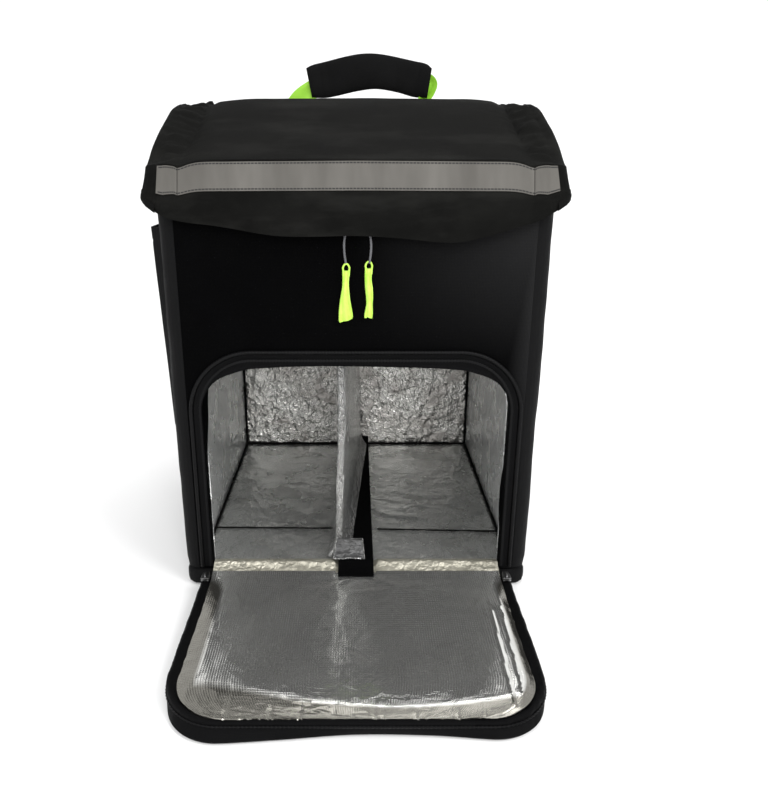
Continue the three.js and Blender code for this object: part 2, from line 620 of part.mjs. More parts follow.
// The zip under the hem, which keeps to the hem's line.
const zipSteps = { side: 8, corner: 4, far: 10 };
function topZip() {
  const start = back - body.corner;
  const outline = threeSides(body.width / 2, start - front, body.corner, zipSteps);
  const section = rectangle(gap, gap + zip.thick, -zip.width / 2, zip.width / 2);
  const directions = outwards(outline);
  const height = outline.map((p, i) => zip.aboveHem + hemAt({
    point: { x: p.x * lidHalf * 2 / body.width, y: start - p.y }, ny: -Math.min(1, directions[i].y) }));
  return sweep(outline, section, (x, along, up, i) => new THREE.Vector3(x, start - along, height[i] + up));
}

const pullSeat = front - gap - zip.thick - gap;
function topSlider(x) {
  const half = slider.width / 2;
  const low = cordRoute[0].height + gap;
  return boxBetween(x - half, x + half, pullSeat - slider.thick, pullSeat, low, low + slider.height);
}

function pullCord(x, bend) {
  const curve = new THREE.CatmullRomCurve3(cordRoute.map(({ side, out, height }) => (
    new THREE.Vector3(x + bend * side, front - out, height))));
  return ribbon(curve, 8, new THREE.Vector3(0, -1, 0), () => flatOval(cord.diameter, cord.diameter, 8));
}

// A flat pull with a shaped edge and a slanted or notched end.
function pull({ x, lean, rows }) {
  const edge = side => rows.map(({ down, wide, end }) => new THREE.Vector2(
    x + lean * down + side * wide * pullTab.width / 2, pullTab.top - gap - pullTab.length * (down + side * end)));
  const shape = new THREE.Shape([...edge(-1), ...edge(1).reverse()]);
  return fromFront(shape, pullTab.thick, front - gap - pullTab.thick);
}

const handleY = back + gap + handle.thick / 2;
const handleCurve = new THREE.CatmullRomCurve3(handleArch.map(({ across, rise }) => new THREE.Vector3(
  handle.centre + across * handle.halfSpan, handleY, handle.foot + rise * handle.rise)));
const towardsWearer = new THREE.Vector3(0, 1, 0);
const handleWebbing = (grow = 0) => ribbon(
  handleCurve, 26, towardsWearer, () => band(handle.webbing + 2 * grow, handle.thick + 2 * grow));

function handleGrip() {
  const shares = steps(200).filter(share => {
    const { x, z } = handleCurve.getPointAt(share);
    return x >= grip.from && x <= grip.to && z > handle.foot + handle.rise / 2;
  });
  const part = new THREE.CatmullRomCurve3(
    steps(10, shares[0], shares[shares.length - 1]).map(share => handleCurve.getPointAt(share)));
  return cut(ribbon(part, 12, towardsWearer, () => flatOval(grip.width, grip.thick, 10)), handleWebbing(gap));
}

// A band section with soft edges.
const softBand = (width, thick, soft) => [[1, -1], [1, 1], [-1, 1], [-1, -1]].flatMap(([x, y], i) => {
  const onSide = { out: x * width / 2, up: y * (thick / 2 - soft) };
  const onFace = { out: x * (width / 2 - soft), up: y * thick / 2 };
  return i % 2 ? [onSide, onFace] : [onFace, onSide];
});

const padFace = back + gap + backPad.thick;
function backPadPanel() {
  const height = (backPad.top - backPad.bottom) / 2;
  const shape = roundedRectangle(backPad.halfWidth - backPad.soft, height - backPad.soft, backPad.corner);
  return fromFront(shape, backPad.thick - 2 * backPad.soft, back + gap + backPad.soft, {
    bevelEnabled: true, bevelThickness: backPad.soft, bevelSize: backPad.soft, bevelSegments: 2,
  }).translate(0, 0, backPad.bottom + height);
}

const strapCurve = side => new THREE.CatmullRomCurve3(strapHang.map(row => new THREE.Vector3(
  side * (strap.x + row.side * strap.spread), padFace + gap + strap.thick / 2 + row.out * strap.reach,
  THREE.MathUtils.lerp(strap.top, strap.bottom, row.down))));

const shoulderStrap = side => ribbon(strapCurve(side), 18, towardsWearer, share => softBand(
  strap.width * readStraight(strapHang, 'down', 'wide', share), strap.thick, strap.thick / 3));

// The point a distance past the end of a strap, straight on.
function pastStrap(side, distance) {
  const curve = strapCurve(side);
  return curve.getPointAt(1).addScaledVector(curve.getTangentAt(1), distance);
}

// A ladder lock with a slot for the strap's end and one for the webbing.
function strapBuckle(side) {
  const along = (from, to) => new THREE.LineCurve3(pastStrap(side, gap + from), pastStrap(side, gap + to));
  const slot = (buckle.length - 3 * buckle.bar) / 2;
  const plate = ribbon(along(0, buckle.length), 1, towardsWearer, () => band(buckle.width, buckle.thick));
  const slots = [buckle.bar, 2 * buckle.bar + slot].map(from => ribbon(
    along(from, from + slot), 1, towardsWearer, () => band(buckle.width - 2 * buckle.bar, 2 * buckle.thick)));
  return cut(plate, ...slots);
}

const anchorFace = back + gap + anchor.thick;
function strapWebbing(side) {
  const y = anchorFace + gap + webbing.thick / 2;
  const low = anchor.bottom + anchor.height * anchor.webbingFrom;
  const start = buckle.length + 2 * gap;
  const curve = new THREE.CatmullRomCurve3([
    pastStrap(side, start), pastStrap(side, start + buckle.bar),
    new THREE.Vector3(side * (anchor.x - webbing.thick), y + webbing.thick, anchor.bottom + anchor.height),
    new THREE.Vector3(side * anchor.x, y, anchor.bottom + anchor.height * anchor.webbingTo),
    new THREE.Vector3(side * anchor.x, y, low),
  ]);
  return ribbon(curve, 10, towardsWearer, () => band(webbing.width, webbing.thick));
}

function strapAnchor(side) {
  const half = anchor.width / 2;
  const top = webbing.width / 2 + anchor.thick / 2;
  const corners = [[-half, 0], [half, 0], [top, anchor.height], [-top, anchor.height]];
  const shape = new THREE.Shape(corners.map(([x, z]) => new THREE.Vector2(side * anchor.x + x, anchor.bottom + z)));
  return fromFront(shape, anchor.thick, back + gap);
}

// A flat pocket, sewn to the side wall at its foot and its two edges and open at the top.
function sidePocket() {
  const rows = [pocket.bottom, ...steps(4, pocket.bottom + pocket.edge, pocket.top)];
  const columns = [pocket.from, ...steps(6, pocket.from + pocket.edge, pocket.to - pocket.edge), pocket.to];
  const at = out => (z, y) => {
    const edge = z === pocket.bottom || y === pocket.from || y === pocket.to;
    const stand = edge ? 0 : THREE.MathUtils.mapLinear(z, pocket.bottom, pocket.top, pocket.heel, pocket.stand);
    return new THREE.Vector3(-body.width / 2 - sideOut(y, z) - gap - stand - out, y, z);
  };
  return thickSheet({ outer: grid(rows, columns, at(pocket.cloth)), face: grid(rows, columns, at(0)) });
}

const group = new THREE.Group();
function add(name, geometry, material) {
  const mesh = new THREE.Mesh(geometry, material);
  mesh.name = name;
  group.add(mesh);
}

const darkCloth = () => finish(0x1b1b1c, 0.85);
const lidCloth = () => finish(0x2d2d2b, 0.8);
const foil = () => finish(0xc9c8c4, 0.35, 0.8);
const blackTape = () => finish(0x101011, 0.7);
const lime = () => finish(0xbee65a, 0.5);
const metal = () => finish(0x8a8a88, 0.35, 1);
const plastic = () => finish(0x141415, 0.45);

add('base_panel', basePanel(), darkCloth());
add('front_panel', frontPanel(), darkCloth());
add('back_panel', backPanel(), darkCloth());
add('foil_lining', foilLining(), foil());
add('divider', dividerBoard(), foil());
add('floor_strip', floorStrip(), blackTape());
add('door_hinge', doorHingeStrip(), foil());
add('door_panel', doorPanel(), darkCloth());
add('door_lining', doorLining(), foil());
add('door_zip_tape', doorZipTape(), blackTape());
add('opening_zip_tape', openingZipTape(), blackTape());
add('opening_piping', openingPiping(), plastic());
add('lid_flap', lidFlap(), lidCloth());
add('reflective_tape', reflectiveTape(), finish(0x807c76, 0.4, 0.2));
add('top_zip', topZip(), blackTape());
add('side_pocket', sidePocket(), darkCloth());
add('handle_webbing', handleWebbing(), finish(0x6edc1e, 0.7));
add('handle_grip', handleGrip(), darkCloth());
add('back_pad', backPadPanel(), darkCloth());
for (const [word, side] of [['left', -1], ['right', 1]]) {
  add(`side_panel_${word}`, sidePanel(side), darkCloth());
  add(`lid_binding_${word}`, lidBinding(side), blackTape());
  add(`tape_tab_${word}`, tapeTab(side), finish(0x807c76, 0.4, 0.2));
  add(`top_slider_${word}`, topSlider(pullTabs[word].x), metal());
  add(`pull_cord_${word}`, pullCord(pullTabs[word].x, side), plastic());
  add(`pull_tab_${word}`, pull(pullTabs[word]), lime());
  add(`door_slider_${word}`, doorSlider(side), metal());
  add(`shoulder_strap_${word}`, shoulderStrap(side), darkCloth());
  add(`strap_buckle_${word}`, strapBuckle(side), plastic());
  add(`strap_webbing_${word}`, strapWebbing(side), blackTape());
  add(`strap_anchor_${word}`, strapAnchor(side), darkCloth());
}

export default group;
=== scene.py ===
import json
import math
import bpy
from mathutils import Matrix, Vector, noise

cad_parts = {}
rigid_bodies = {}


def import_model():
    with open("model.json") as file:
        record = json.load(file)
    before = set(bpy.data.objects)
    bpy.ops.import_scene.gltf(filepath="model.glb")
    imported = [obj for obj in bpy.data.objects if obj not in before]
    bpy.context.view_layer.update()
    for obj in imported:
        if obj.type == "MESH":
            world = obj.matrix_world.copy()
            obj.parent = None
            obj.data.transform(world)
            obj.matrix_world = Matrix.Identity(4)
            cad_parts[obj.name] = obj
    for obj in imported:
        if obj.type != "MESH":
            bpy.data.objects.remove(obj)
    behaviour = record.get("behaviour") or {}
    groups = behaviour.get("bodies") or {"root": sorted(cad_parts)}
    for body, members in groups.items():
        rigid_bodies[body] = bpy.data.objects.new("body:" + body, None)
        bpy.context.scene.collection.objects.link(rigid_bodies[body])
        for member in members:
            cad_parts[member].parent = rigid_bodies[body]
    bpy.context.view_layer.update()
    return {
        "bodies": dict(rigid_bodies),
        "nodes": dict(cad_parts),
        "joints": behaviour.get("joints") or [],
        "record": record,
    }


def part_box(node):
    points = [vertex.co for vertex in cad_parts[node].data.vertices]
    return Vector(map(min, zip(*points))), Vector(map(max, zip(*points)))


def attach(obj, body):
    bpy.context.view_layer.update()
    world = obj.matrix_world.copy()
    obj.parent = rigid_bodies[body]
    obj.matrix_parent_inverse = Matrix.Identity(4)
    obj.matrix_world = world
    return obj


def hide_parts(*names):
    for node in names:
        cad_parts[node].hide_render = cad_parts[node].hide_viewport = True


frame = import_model()
mm = 0.001

# Measures of the bag that several pieces share, in millimetres.
bag = {
    "front": -175, "back": 175, "half": 175, "corner": 14, "wall": 12, "baseTop": 20.3, "floor": 22.3,
    "inside": 160.7, "liningTop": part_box("foil_lining")[1].z * 1000,
}


def smooth(rows, at):  # a smooth reading between (place, value) rows
    last = len(rows) - 1
    x = min(max(at, rows[0][0]), rows[last][0])
    i = 0
    while i < last - 1 and rows[i + 1][0] <= x:
        i += 1

    def slope(k):
        a, b = rows[max(k - 1, 0)], rows[min(k + 1, last)]
        return (b[1] - a[1]) / (b[0] - a[0])
    step = rows[i + 1][0] - rows[i][0]
    s = (x - rows[i][0]) / step
    start = rows[i][1] * (1 + 2 * s) * (1 - s) ** 2 + slope(i) * step * s * (1 - s) ** 2
    return start + rows[i + 1][1] * s * s * (3 - 2 * s) + slope(i + 1) * step * s * s * (s - 1)


def straight(rows, at):
    last = len(rows) - 1
    x = min(max(at, rows[0][0]), rows[last][0])
    i = 0
    while i < last - 1 and rows[i + 1][0] <= x:
        i += 1
    s = (x - rows[i][0]) / (rows[i + 1][0] - rows[i][0])
    return rows[i][1] + (rows[i + 1][1] - rows[i][1]) * s


def blendIn(value, low, high):
    s = min(max((value - low) / (high - low), 0), 1)
    return s * s * (3 - 2 * s)


def mix(a, b, share):
    return a + (b - a) * share


def hump(away, wide):  # 1 in the middle, falling off on both sides
    return math.exp(-(away / wide) ** 2)


def ripple(x, y, size, seed=0.0):  # soft uneven waves from -1 to 1
    return noise.noise(Vector((x / size + seed, y / size - seed, seed * 1.7)))


def crease(x, y, size, seed=0.0):  # sharp ridges from 0 to 1
    return 1 - min(1, abs(noise.noise(Vector((x / size + seed, y / size + seed, seed)))) * 2.6)


def facets(x, y, size, seed=0.0):  # flat crumpled faces from 0 to 1
    near = noise.voronoi(Vector((x / size + seed, y / size, seed)))[0]
    return min(1, near[1] - near[0])


def deselectAll():
    if bpy.context.mode != "OBJECT":
        bpy.ops.object.mode_set(mode="OBJECT")
    bpy.ops.object.select_all(action="DESELECT")


def choose(piece):
    deselectAll()
    piece.select_set(True)
    bpy.context.view_layer.objects.active = piece


def named(name):
    piece = bpy.context.object
    piece.name = piece.data.name = name
    return piece


# A grid whose points are laid where place(u, v) says, in millimetres, with a UV map in metres.
def clothGrid(name, columns, rows, place, size=(1, 1)):
    deselectAll()
    bpy.ops.mesh.primitive_grid_add(x_subdivisions=columns, y_subdivisions=rows, size=1, calc_uvs=True)
    piece = named(name)
    shares = [(v.co.x + 0.5, v.co.y + 0.5) for v in piece.data.vertices]
    for v, (u, w) in zip(piece.data.vertices, shares):
        v.co = Vector(place(u, w)) * mm
    uv = piece.data.uv_layers.active.data
    for loop in piece.data.loops:
        u, w = shares[loop.vertex_index]
        uv[loop.index].uv = (u * size[0] * mm, w * size[1] * mm)
    return piece


def applyModifiers(piece):
    choose(piece)
    for modifier in list(piece.modifiers):
        bpy.ops.object.modifier_apply(modifier=modifier.name)


def modified(piece, kind, **settings):
    modifier = piece.modifiers.new(kind.lower(), kind)
    for key, value in settings.items():
        setattr(modifier, key, value)
    applyModifiers(piece)
    return piece


def thicken(piece, thick, offset=-1):
    return modified(piece, "SOLIDIFY", thickness=thick * mm, offset=offset)


def bevelled(piece, width, segments=2, angle=40):
    return modified(piece, "BEVEL", width=width * mm, segments=segments, angle_limit=math.radians(angle))


def evened(piece, voxel):  # rebuilds a closed piece with faces of one size
    return modified(piece, "REMESH", mode="VOXEL", voxel_size=voxel)


def numbered(piece, number):  # every face gets the material with this number
    for polygon in piece.data.polygons:
        polygon.material_index = number
    return piece


def joined(name, *parts):  # each face keeps the number of its material
    if len(parts) == 1:
        choose(parts[0])
        return named(name)
    for part in parts:
        kinds = part.data.attributes.new("kind", "INT", "FACE")
        kinds.data.foreach_set("value", [polygon.material_index for polygon in part.data.polygons])
    deselectAll()
    for part in parts:
        part.select_set(True)
    bpy.context.view_layer.objects.active = parts[0]
    bpy.ops.object.join()
    piece = named(name)
    kinds = piece.data.attributes["kind"]
    numbers = [one.value for one in kinds.data]
    piece.data.polygons.foreach_set("material_index", numbers)
    piece.data.attributes.remove(kinds)
    return piece


def welded(piece, close=False):  # joins points that meet, and closes open ends
    choose(piece)
    bpy.ops.object.mode_set(mode="EDIT")
    bpy.ops.mesh.select_all(action="SELECT")
    bpy.ops.mesh.remove_doubles(threshold=0.00002)
    if close:
        bpy.ops.mesh.fill_holes(sides=0)
        bpy.ops.mesh.select_all(action="SELECT")
        bpy.ops.mesh.normals_make_consistent(inside=False)
    bpy.ops.object.mode_set(mode="OBJECT")
    return piece


def sheetOf(name, columns, rows, lay, size, way, thick):  # it looks a given way, with its thickness behind it
    return thicken(facing(clothGrid(name, columns, rows, lay, size), way), thick)


# A closed band swept along a line. The outline is a closed ring of (out, up),
# and place(u, out, up) lays each of its points.
def swept(name, steps, outline, place, length):
    ring = outline + outline[:1]
    round_ = sum(math.dist(a, b) for a, b in zip(ring, ring[1:]))
    def lay(u, w):
        k = round(w * len(outline)) % len(outline)
        return place(u, *outline[k])
    return welded(clothGrid(name, steps, len(outline), lay, (length, round_)), close=True)


def turned(piece):  # the other side outwards
    choose(piece)
    bpy.ops.object.mode_set(mode="EDIT")
    bpy.ops.mesh.select_all(action="SELECT")
    bpy.ops.mesh.flip_normals()
    bpy.ops.object.mode_set(mode="OBJECT")
    return piece


def facing(piece, way):  # turns an open sheet so that it looks a given way
    total = Vector((0, 0, 0))
    for polygon in piece.data.polygons:
        total += polygon.normal * polygon.area
    return turned(piece) if total.dot(Vector(way)) < 0 else piece


def blockUv(piece):  # unwraps a block along its main ways, in metres
    for layer in list(piece.data.uv_layers):
        piece.data.uv_layers.remove(layer)
    layer = piece.data.uv_layers.new(name="cloth")
    for polygon in piece.data.polygons:
        way = [abs(part) for part in polygon.normal]
        main = way.index(max(way))
        for k in polygon.loop_indices:
            co = piece.data.vertices[piece.data.loops[k].vertex_index].co
            layer.data[k].uv = ((co.y, co.z), (co.x, co.z), (co.x, co.y))[main]
    return piece


def coilOf(name, steps, ring, swell, pitch, length, place):  # a zip's coil, a row of small turns
    def lay(u, out, up):
        size = 1 + swell * math.cos(u * length / pitch * math.pi)
        return place(u, out * size, up * size)
    return numbered(swept(name, steps, ring, lay, length), 1)


def flatOval(width, thick, sides):
    return [(width / 2 * math.cos(2 * math.pi * k / sides), thick / 2 * math.sin(2 * math.pi * k / sides))
            for k in range(sides)]


# A point on three sides of a rectangle with two round corners, with its outward way; share runs from end to end.
def threeSides(share, half, length, radius, start):
    side, arc, far = length - radius - start, math.pi / 2 * radius, 2 * (half - radius)
    s = share * (2 * side + 2 * arc + far)
    if s <= side:
        return -half, start + s, -1, 0
    if s <= side + arc:
        a = math.pi - (s - side) / radius
        return radius - half + radius * math.cos(a), length - radius + radius * math.sin(a), math.cos(a), math.sin(a)
    if s <= side + arc + far:
        return s - side - arc - half + radius, length, 0, 1
    if s <= side + 2 * arc + far:
        a = math.pi / 2 - (s - side - arc - far) / radius
        return half - radius + radius * math.cos(a), length - radius + radius * math.sin(a), math.cos(a), math.sin(a)
    return half, length - (s - side - 2 * arc - far) - radius, 1, 0


def handIn(piece, slot, *nodes, look=None, angle=40, more=()):  # the look has the slot's name if none is given
    choose(piece)
    bpy.ops.object.shade_smooth_by_angle(angle=math.radians(angle))
    faces = [p.material_index for p in piece.data.polygons]
    piece.data.materials.clear()
    for each in (look or slot, *more):
        piece.data.materials.append(looks[each])
    piece.data.polygons.foreach_set("material_index", faces)
    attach(piece, "root")
    if nodes:
        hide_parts(*nodes)
    return piece


# The camera stands where the photograph was taken from, and the studio is pale and soft.
studio = {"camera": (0, -0.826, 0.421), "tilt": 71.4, "lens": 32.45, "shift": 0.035, "floor": (0.9, 0.9, 0.9),
          "sky": 0.9,
          "lights": (("key", (1.5, -1.3, 1.9), 1.0, 30), ("fill", (-1.7, -1.6, 1.2), 1.6, 10),
                     ("top", (0.2, 0.6, 2.2), 1.2, 14), ("front", (0.25, -2.3, 1.25), 1.1, 28)),
                     "lit": (0, -0.05, 0.25)}


def setStudio():
    bpy.ops.object.camera_add(location=studio["camera"], rotation=(math.radians(studio["tilt"]), 0, 0))
    camera = bpy.context.object
    camera.data.lens, camera.data.sensor_width, camera.data.shift_x = studio["lens"], 36, studio["shift"]
    camera.data.clip_start = 0.01
    bpy.context.scene.camera = camera
    bpy.context.scene.view_settings.view_transform = "Standard"

    def sweepUp(u, w):
        y = mix(-4000, 3200, w)
        return mix(-5000, 5000, u), y, 0 if y < 1200 else (y - 1200) ** 2 / 1400
    floor = clothGrid("studio_floor", 2, 36, sweepUp)
    choose(floor)
    bpy.ops.object.shade_smooth()
    material = bpy.data.materials.new("pale_floor")
    material.use_nodes = True
    shader = material.node_tree.nodes["Principled BSDF"]
    shader.inputs["Base Color"].default_value = (*studio["floor"], 1)
    shader.inputs["Roughness"].default_value = 0.9
    floor.data.materials.append(material)
    world = bpy.data.worlds.new("studio")
    bpy.context.scene.world = world
    world.use_nodes = True
    world.node_tree.nodes["Background"].inputs["Color"].default_value = (1, 1, 1, 1)
    world.node_tree.nodes["Background"].inputs["Strength"].default_value = studio["sky"]
    for name, place, size, power in studio["lights"]:
        bpy.ops.object.light_add(type="AREA", location=place)
        light = named(name)
        light.data.size, light.data.energy = size, power
        light.rotation_euler = (Vector(studio["lit"]) - Vector(place)).to_track_quat("-Z", "Y").to_euler()


def startGroup(name, given, made):
    tree = bpy.data.node_groups.new(name, "ShaderNodeTree")
    for label, value in given:
        kind = "NodeSocketVector" if value is None else "NodeSocketFloat"
        socket = tree.interface.new_socket(label, in_out="INPUT", socket_type=kind)
        if value is not None:
            socket.default_value = value
    for label in made:
        tree.interface.new_socket(label, in_out="OUTPUT", socket_type="NodeSocketFloat")
    return tree, tree.nodes.new("NodeGroupInput").outputs, tree.nodes.new("NodeGroupOutput").inputs


def fillInputs(tree, node, inputs):
    for key, value in dict(inputs).items():
        if isinstance(value, bpy.types.NodeSocket):
            tree.links.new(value, node.inputs[key])
        else:
            node.inputs[key].default_value = value
    return node


def addNode(tree, kind, inputs=(), **settings):
    made = tree.nodes.new("ShaderNode" + kind)
    for key, value in settings.items():
        setattr(made, key, value)
    return fillInputs(tree, made, inputs)


def sums(tree, operation, a, b=0.0, c=0.0, clamp=False):
    return addNode(tree, "Math", {0: a, 1: b, 2: c}, operation=operation, use_clamp=clamp).outputs[0]


def scaled(tree, vector, factor):
    return addNode(tree, "VectorMath", {0: vector, "Scale": factor}, operation="SCALE").outputs[0]


def noiseOf(tree, vector, scale, detail=2.0, rough=0.5, kind="FBM", distortion=0.0):
    values = {"Vector": vector, "Scale": scale, "Detail": detail, "Roughness": rough, "Distortion": distortion}
    return addNode(tree, "TexNoise", values, noise_type=kind).outputs[0]


def mapped(tree, value, low, high, to=(0.0, 1.0)):
    return addNode(tree, "MapRange", {0: value, 1: low, 2: high, 3: to[0], 4: to[1]}).outputs[0]


# Crossing threads: their height, and how much light the gaps between them hold back.
def makeWeave():
    tree, given, made = startGroup("weave", [("Vector", None), ("Thread", 0.0008), ("Uneven", 0.3)],
                                   ["Height", "Shade"])
    turns = sums(tree, "DIVIDE", math.pi, given["Thread"])
    drift = addNode(tree, "TexNoise", {"Vector": given["Vector"], "Scale": 60.0, "Detail": 1.0})
    shift = scaled(tree, drift.outputs["Color"], sums(tree, "MULTIPLY", given["Thread"], 0.9))
    place = addNode(tree, "VectorMath", {0: given["Vector"], 1: shift}, operation="ADD").outputs[0]
    across = addNode(tree, "SeparateXYZ", {0: scaled(tree, place, turns)})
    a, b = sums(tree, "SINE", across.outputs[0]), sums(tree, "SINE", across.outputs[1])
    over = sums(tree, "MULTIPLY_ADD", sums(tree, "MULTIPLY", a, b), 0.5, 0.5)
    warp = sums(tree, "MULTIPLY", sums(tree, "ABSOLUTE", a), sums(tree, "MULTIPLY_ADD", over, 0.5, 0.5))
    weft = sums(tree, "MULTIPLY", sums(tree, "ABSOLUTE", b), sums(tree, "MULTIPLY_ADD", over, -0.5, 1.0))
    height = sums(tree, "MAXIMUM", warp, weft)
    fine = noiseOf(tree, given["Vector"], 900.0, 2.0)
    rough = sums(tree, "MULTIPLY", sums(tree, "SUBTRACT", fine, 0.5), given["Uneven"])
    total = sums(tree, "ADD", height, rough)
    tree.links.new(total, made["Height"])
    tree.links.new(mapped(tree, total, 0.2, 0.95, (0.55, 1.0)), made["Shade"])
    return tree


# Dust and rubbing in soft patches, with a few lighter specks.
def makeWear():
    tree, given, made = startGroup("wear", [("Vector", None), ("Size", 0.06)], ["Patch", "Speck"])
    scale = sums(tree, "DIVIDE", 1.0, given["Size"])
    patch = noiseOf(tree, given["Vector"], scale, 5.0, 0.6, distortion=0.4)
    tree.links.new(mapped(tree, patch, 0.42, 0.75), made["Patch"])
    speck = noiseOf(tree, given["Vector"], 1400.0, 1.0)
    tree.links.new(mapped(tree, speck, 0.66, 0.8), made["Speck"])
    return tree


# Creased film: fine folds over larger ones, and the net under it.
def makeCrinkle():
    tree, given, made = startGroup("crinkle", [("Vector", None), ("Size", 0.012), ("Net", 0.0021)],
                                   ["Height", "Fold", "Mesh"])
    scale = sums(tree, "DIVIDE", 1.0, given["Size"])
    bend = addNode(tree, "TexNoise", {"Vector": given["Vector"], "Scale": scale, "Detail": 2.0})
    moved = addNode(tree, "VectorMath", {0: bend.outputs["Color"], 1: (0.5, 0.5, 0.5)},
                    operation="SUBTRACT").outputs[0]
    place = addNode(tree, "VectorMath", {0: given["Vector"], 1: scaled(tree, moved, given["Size"])},
                    operation="ADD").outputs[0]
    cells = addNode(tree, "TexVoronoi", {"Vector": place, "Scale": scale}, feature="F1").outputs["Distance"]
    small = addNode(tree, "TexVoronoi", {"Vector": place, "Scale": sums(tree, "MULTIPLY", scale, 2.7)},
                    feature="F1").outputs["Distance"]
    ridges = noiseOf(tree, place, sums(tree, "MULTIPLY", scale, 1.4), 3.0, 0.55, "RIDGED_MULTIFRACTAL")
    both = sums(tree, "MULTIPLY_ADD", small, 0.45, cells)
    tree.links.new(sums(tree, "MULTIPLY_ADD", ridges, 0.22, both), made["Height"])
    tree.links.new(mapped(tree, ridges, 0.5, 1.4), made["Fold"])
    turns = sums(tree, "DIVIDE", math.pi, given["Net"])
    across = addNode(tree, "SeparateXYZ", {0: scaled(tree, given["Vector"], turns)})
    lines = [sums(tree, "POWER", sums(tree, "ABSOLUTE", sums(tree, "COSINE", across.outputs[k])), 8.0)
             for k in (0, 1)]
    tree.links.new(sums(tree, "MAXIMUM", *lines), made["Mesh"])
    return tree


# A row of stitches along a line: where the thread shows, and how high it stands.
def makeStitches():
    tree, given, made = startGroup("stitches",
                                   [("Along", 0.0), ("Off", 0.0), ("Pitch", 0.0032), ("Wide", 0.0008)],
                                   ["Thread", "Height"])
    turns = sums(tree, "DIVIDE", sums(tree, "MULTIPLY", given["Along"], math.pi), given["Pitch"])
    beat = sums(tree, "ABSOLUTE", sums(tree, "SINE", turns))
    away = sums(tree, "DIVIDE", sums(tree, "ABSOLUTE", given["Off"]), given["Wide"])
    line = sums(tree, "SUBTRACT", 1.0, away, clamp=True)
    thread = sums(tree, "MULTIPLY", mapped(tree, beat, 0.25, 0.5), mapped(tree, line, 0.0, 0.4))
    tree.links.new(thread, made["Thread"])
    tree.links.new(sums(tree, "MULTIPLY", thread, line), made["Height"])
    return tree


groups = {}


def placeGroup(tree, name, **values):
    node = tree.nodes.new("ShaderNodeGroup")
    node.node_tree = groups[name]
    return fillInputs(tree, node, values).outputs


def startMaterial(name, **settings):
    material = bpy.data.materials.new(name)
    material.use_nodes = True
    tree = material.node_tree
    shader = tree.nodes["Principled BSDF"]
    for key, value in settings.items():
        label = key.replace("_", " ")
        shader.inputs[label].default_value = (*value, 1) if isinstance(value, tuple) else value
    where = tree.nodes.new("ShaderNodeTexCoord").outputs
    return material, tree, shader, where


def colourBetween(tree, share, dark, light):
    node = addNode(tree, "Mix", {0: share, 6: (*dark, 1), 7: (*light, 1)}, data_type="RGBA")
    return node.outputs[2]


def setColour(tree, shader, share, dark, light):
    tree.links.new(colourBetween(tree, share, dark, light), shader.inputs["Base Color"])


def setRough(tree, shader, share, low, high):
    tree.links.new(mapped(tree, share, 0, 1, (low, high)), shader.inputs["Roughness"])


def setBump(tree, shader, height, distance, strength=1.0, under=None):
    values = {"Height": height, "Distance": distance, "Strength": strength}
    if under:
        values["Normal"] = under
    bump = addNode(tree, "Bump", values)
    tree.links.new(bump.outputs[0], shader.inputs["Normal"])
    return bump.outputs[0]


# Woven cloth: its colour from dark to light, its thread, and how deep the threads stand.
cloths = {
    "wall_cloth": {"dark": (0.0014, 0.0014, 0.0016), "light": (0.0075, 0.0075, 0.008), "thread": 0.0011,
                   "deep": 0.0003, "rough": 0.6, "gloss": 0.08, "dust": 0.25},
    # The front cloth's colour is painted lighter towards its upper right and its right edge: a painted highlight.
    "front_cloth": {"dark": (0.0004, 0.0004, 0.0005), "light": (0.019, 0.019, 0.0195), "thread": 0.0013,
                    "deep": 0.00034, "rough": 0.55, "gloss": 0.005, "dust": 0.1, "painted_highlight": 0.9},
    # The lid cloth's long lighter patches are partly dust and partly painted sheen.
    "lid_cloth": {"dark": (0.0027, 0.0027, 0.0025), "light": (0.0105, 0.0105, 0.0097), "dust_and_sheen": 0.9,
                  "thread": 0.0006, "deep": 0.0001, "rough": 0.85, "gloss": 0.03, "dust": 0.6},
    "binding": {"dark": (0.004, 0.004, 0.0038), "light": (0.0095, 0.0095, 0.009), "thread": 0.0008,
                "deep": 0.00022, "rough": 0.8, "gloss": 0.03, "dust": 0.3},
    "grip_cloth": {"dark": (0.0035, 0.0035, 0.0036), "light": (0.012, 0.012, 0.0122), "thread": 0.0007,
                   "deep": 0.00014, "rough": 0.8, "gloss": 0.04, "dust": 0.4},
    "strap_cloth": {"dark": (0.003, 0.003, 0.0033), "light": (0.011, 0.011, 0.0115), "thread": 0.0009,
                    "deep": 0.0002, "rough": 0.8, "gloss": 0.08, "dust": 0.3},
    "strap_webbing": {"dark": (0.004, 0.004, 0.0043), "light": (0.014, 0.014, 0.0145), "thread": 0.0016,
                      "deep": 0.0004, "rough": 0.7, "gloss": 0.08, "dust": 0.15},
    "zip_tape": {"dark": (0.0012, 0.0012, 0.0014), "light": (0.006, 0.006, 0.0064), "thread": 0.0007,
                 "deep": 0.0002, "rough": 0.6, "gloss": 0.05, "dust": 0.15},
    "lime_webbing": {"dark": (0.2, 0.5, 0.015), "light": (0.44, 0.8, 0.09), "thread": 0.0015, "deep": 0.0003,
                     "rough": 0.55, "gloss": 0.3, "dust": 0.4},
}


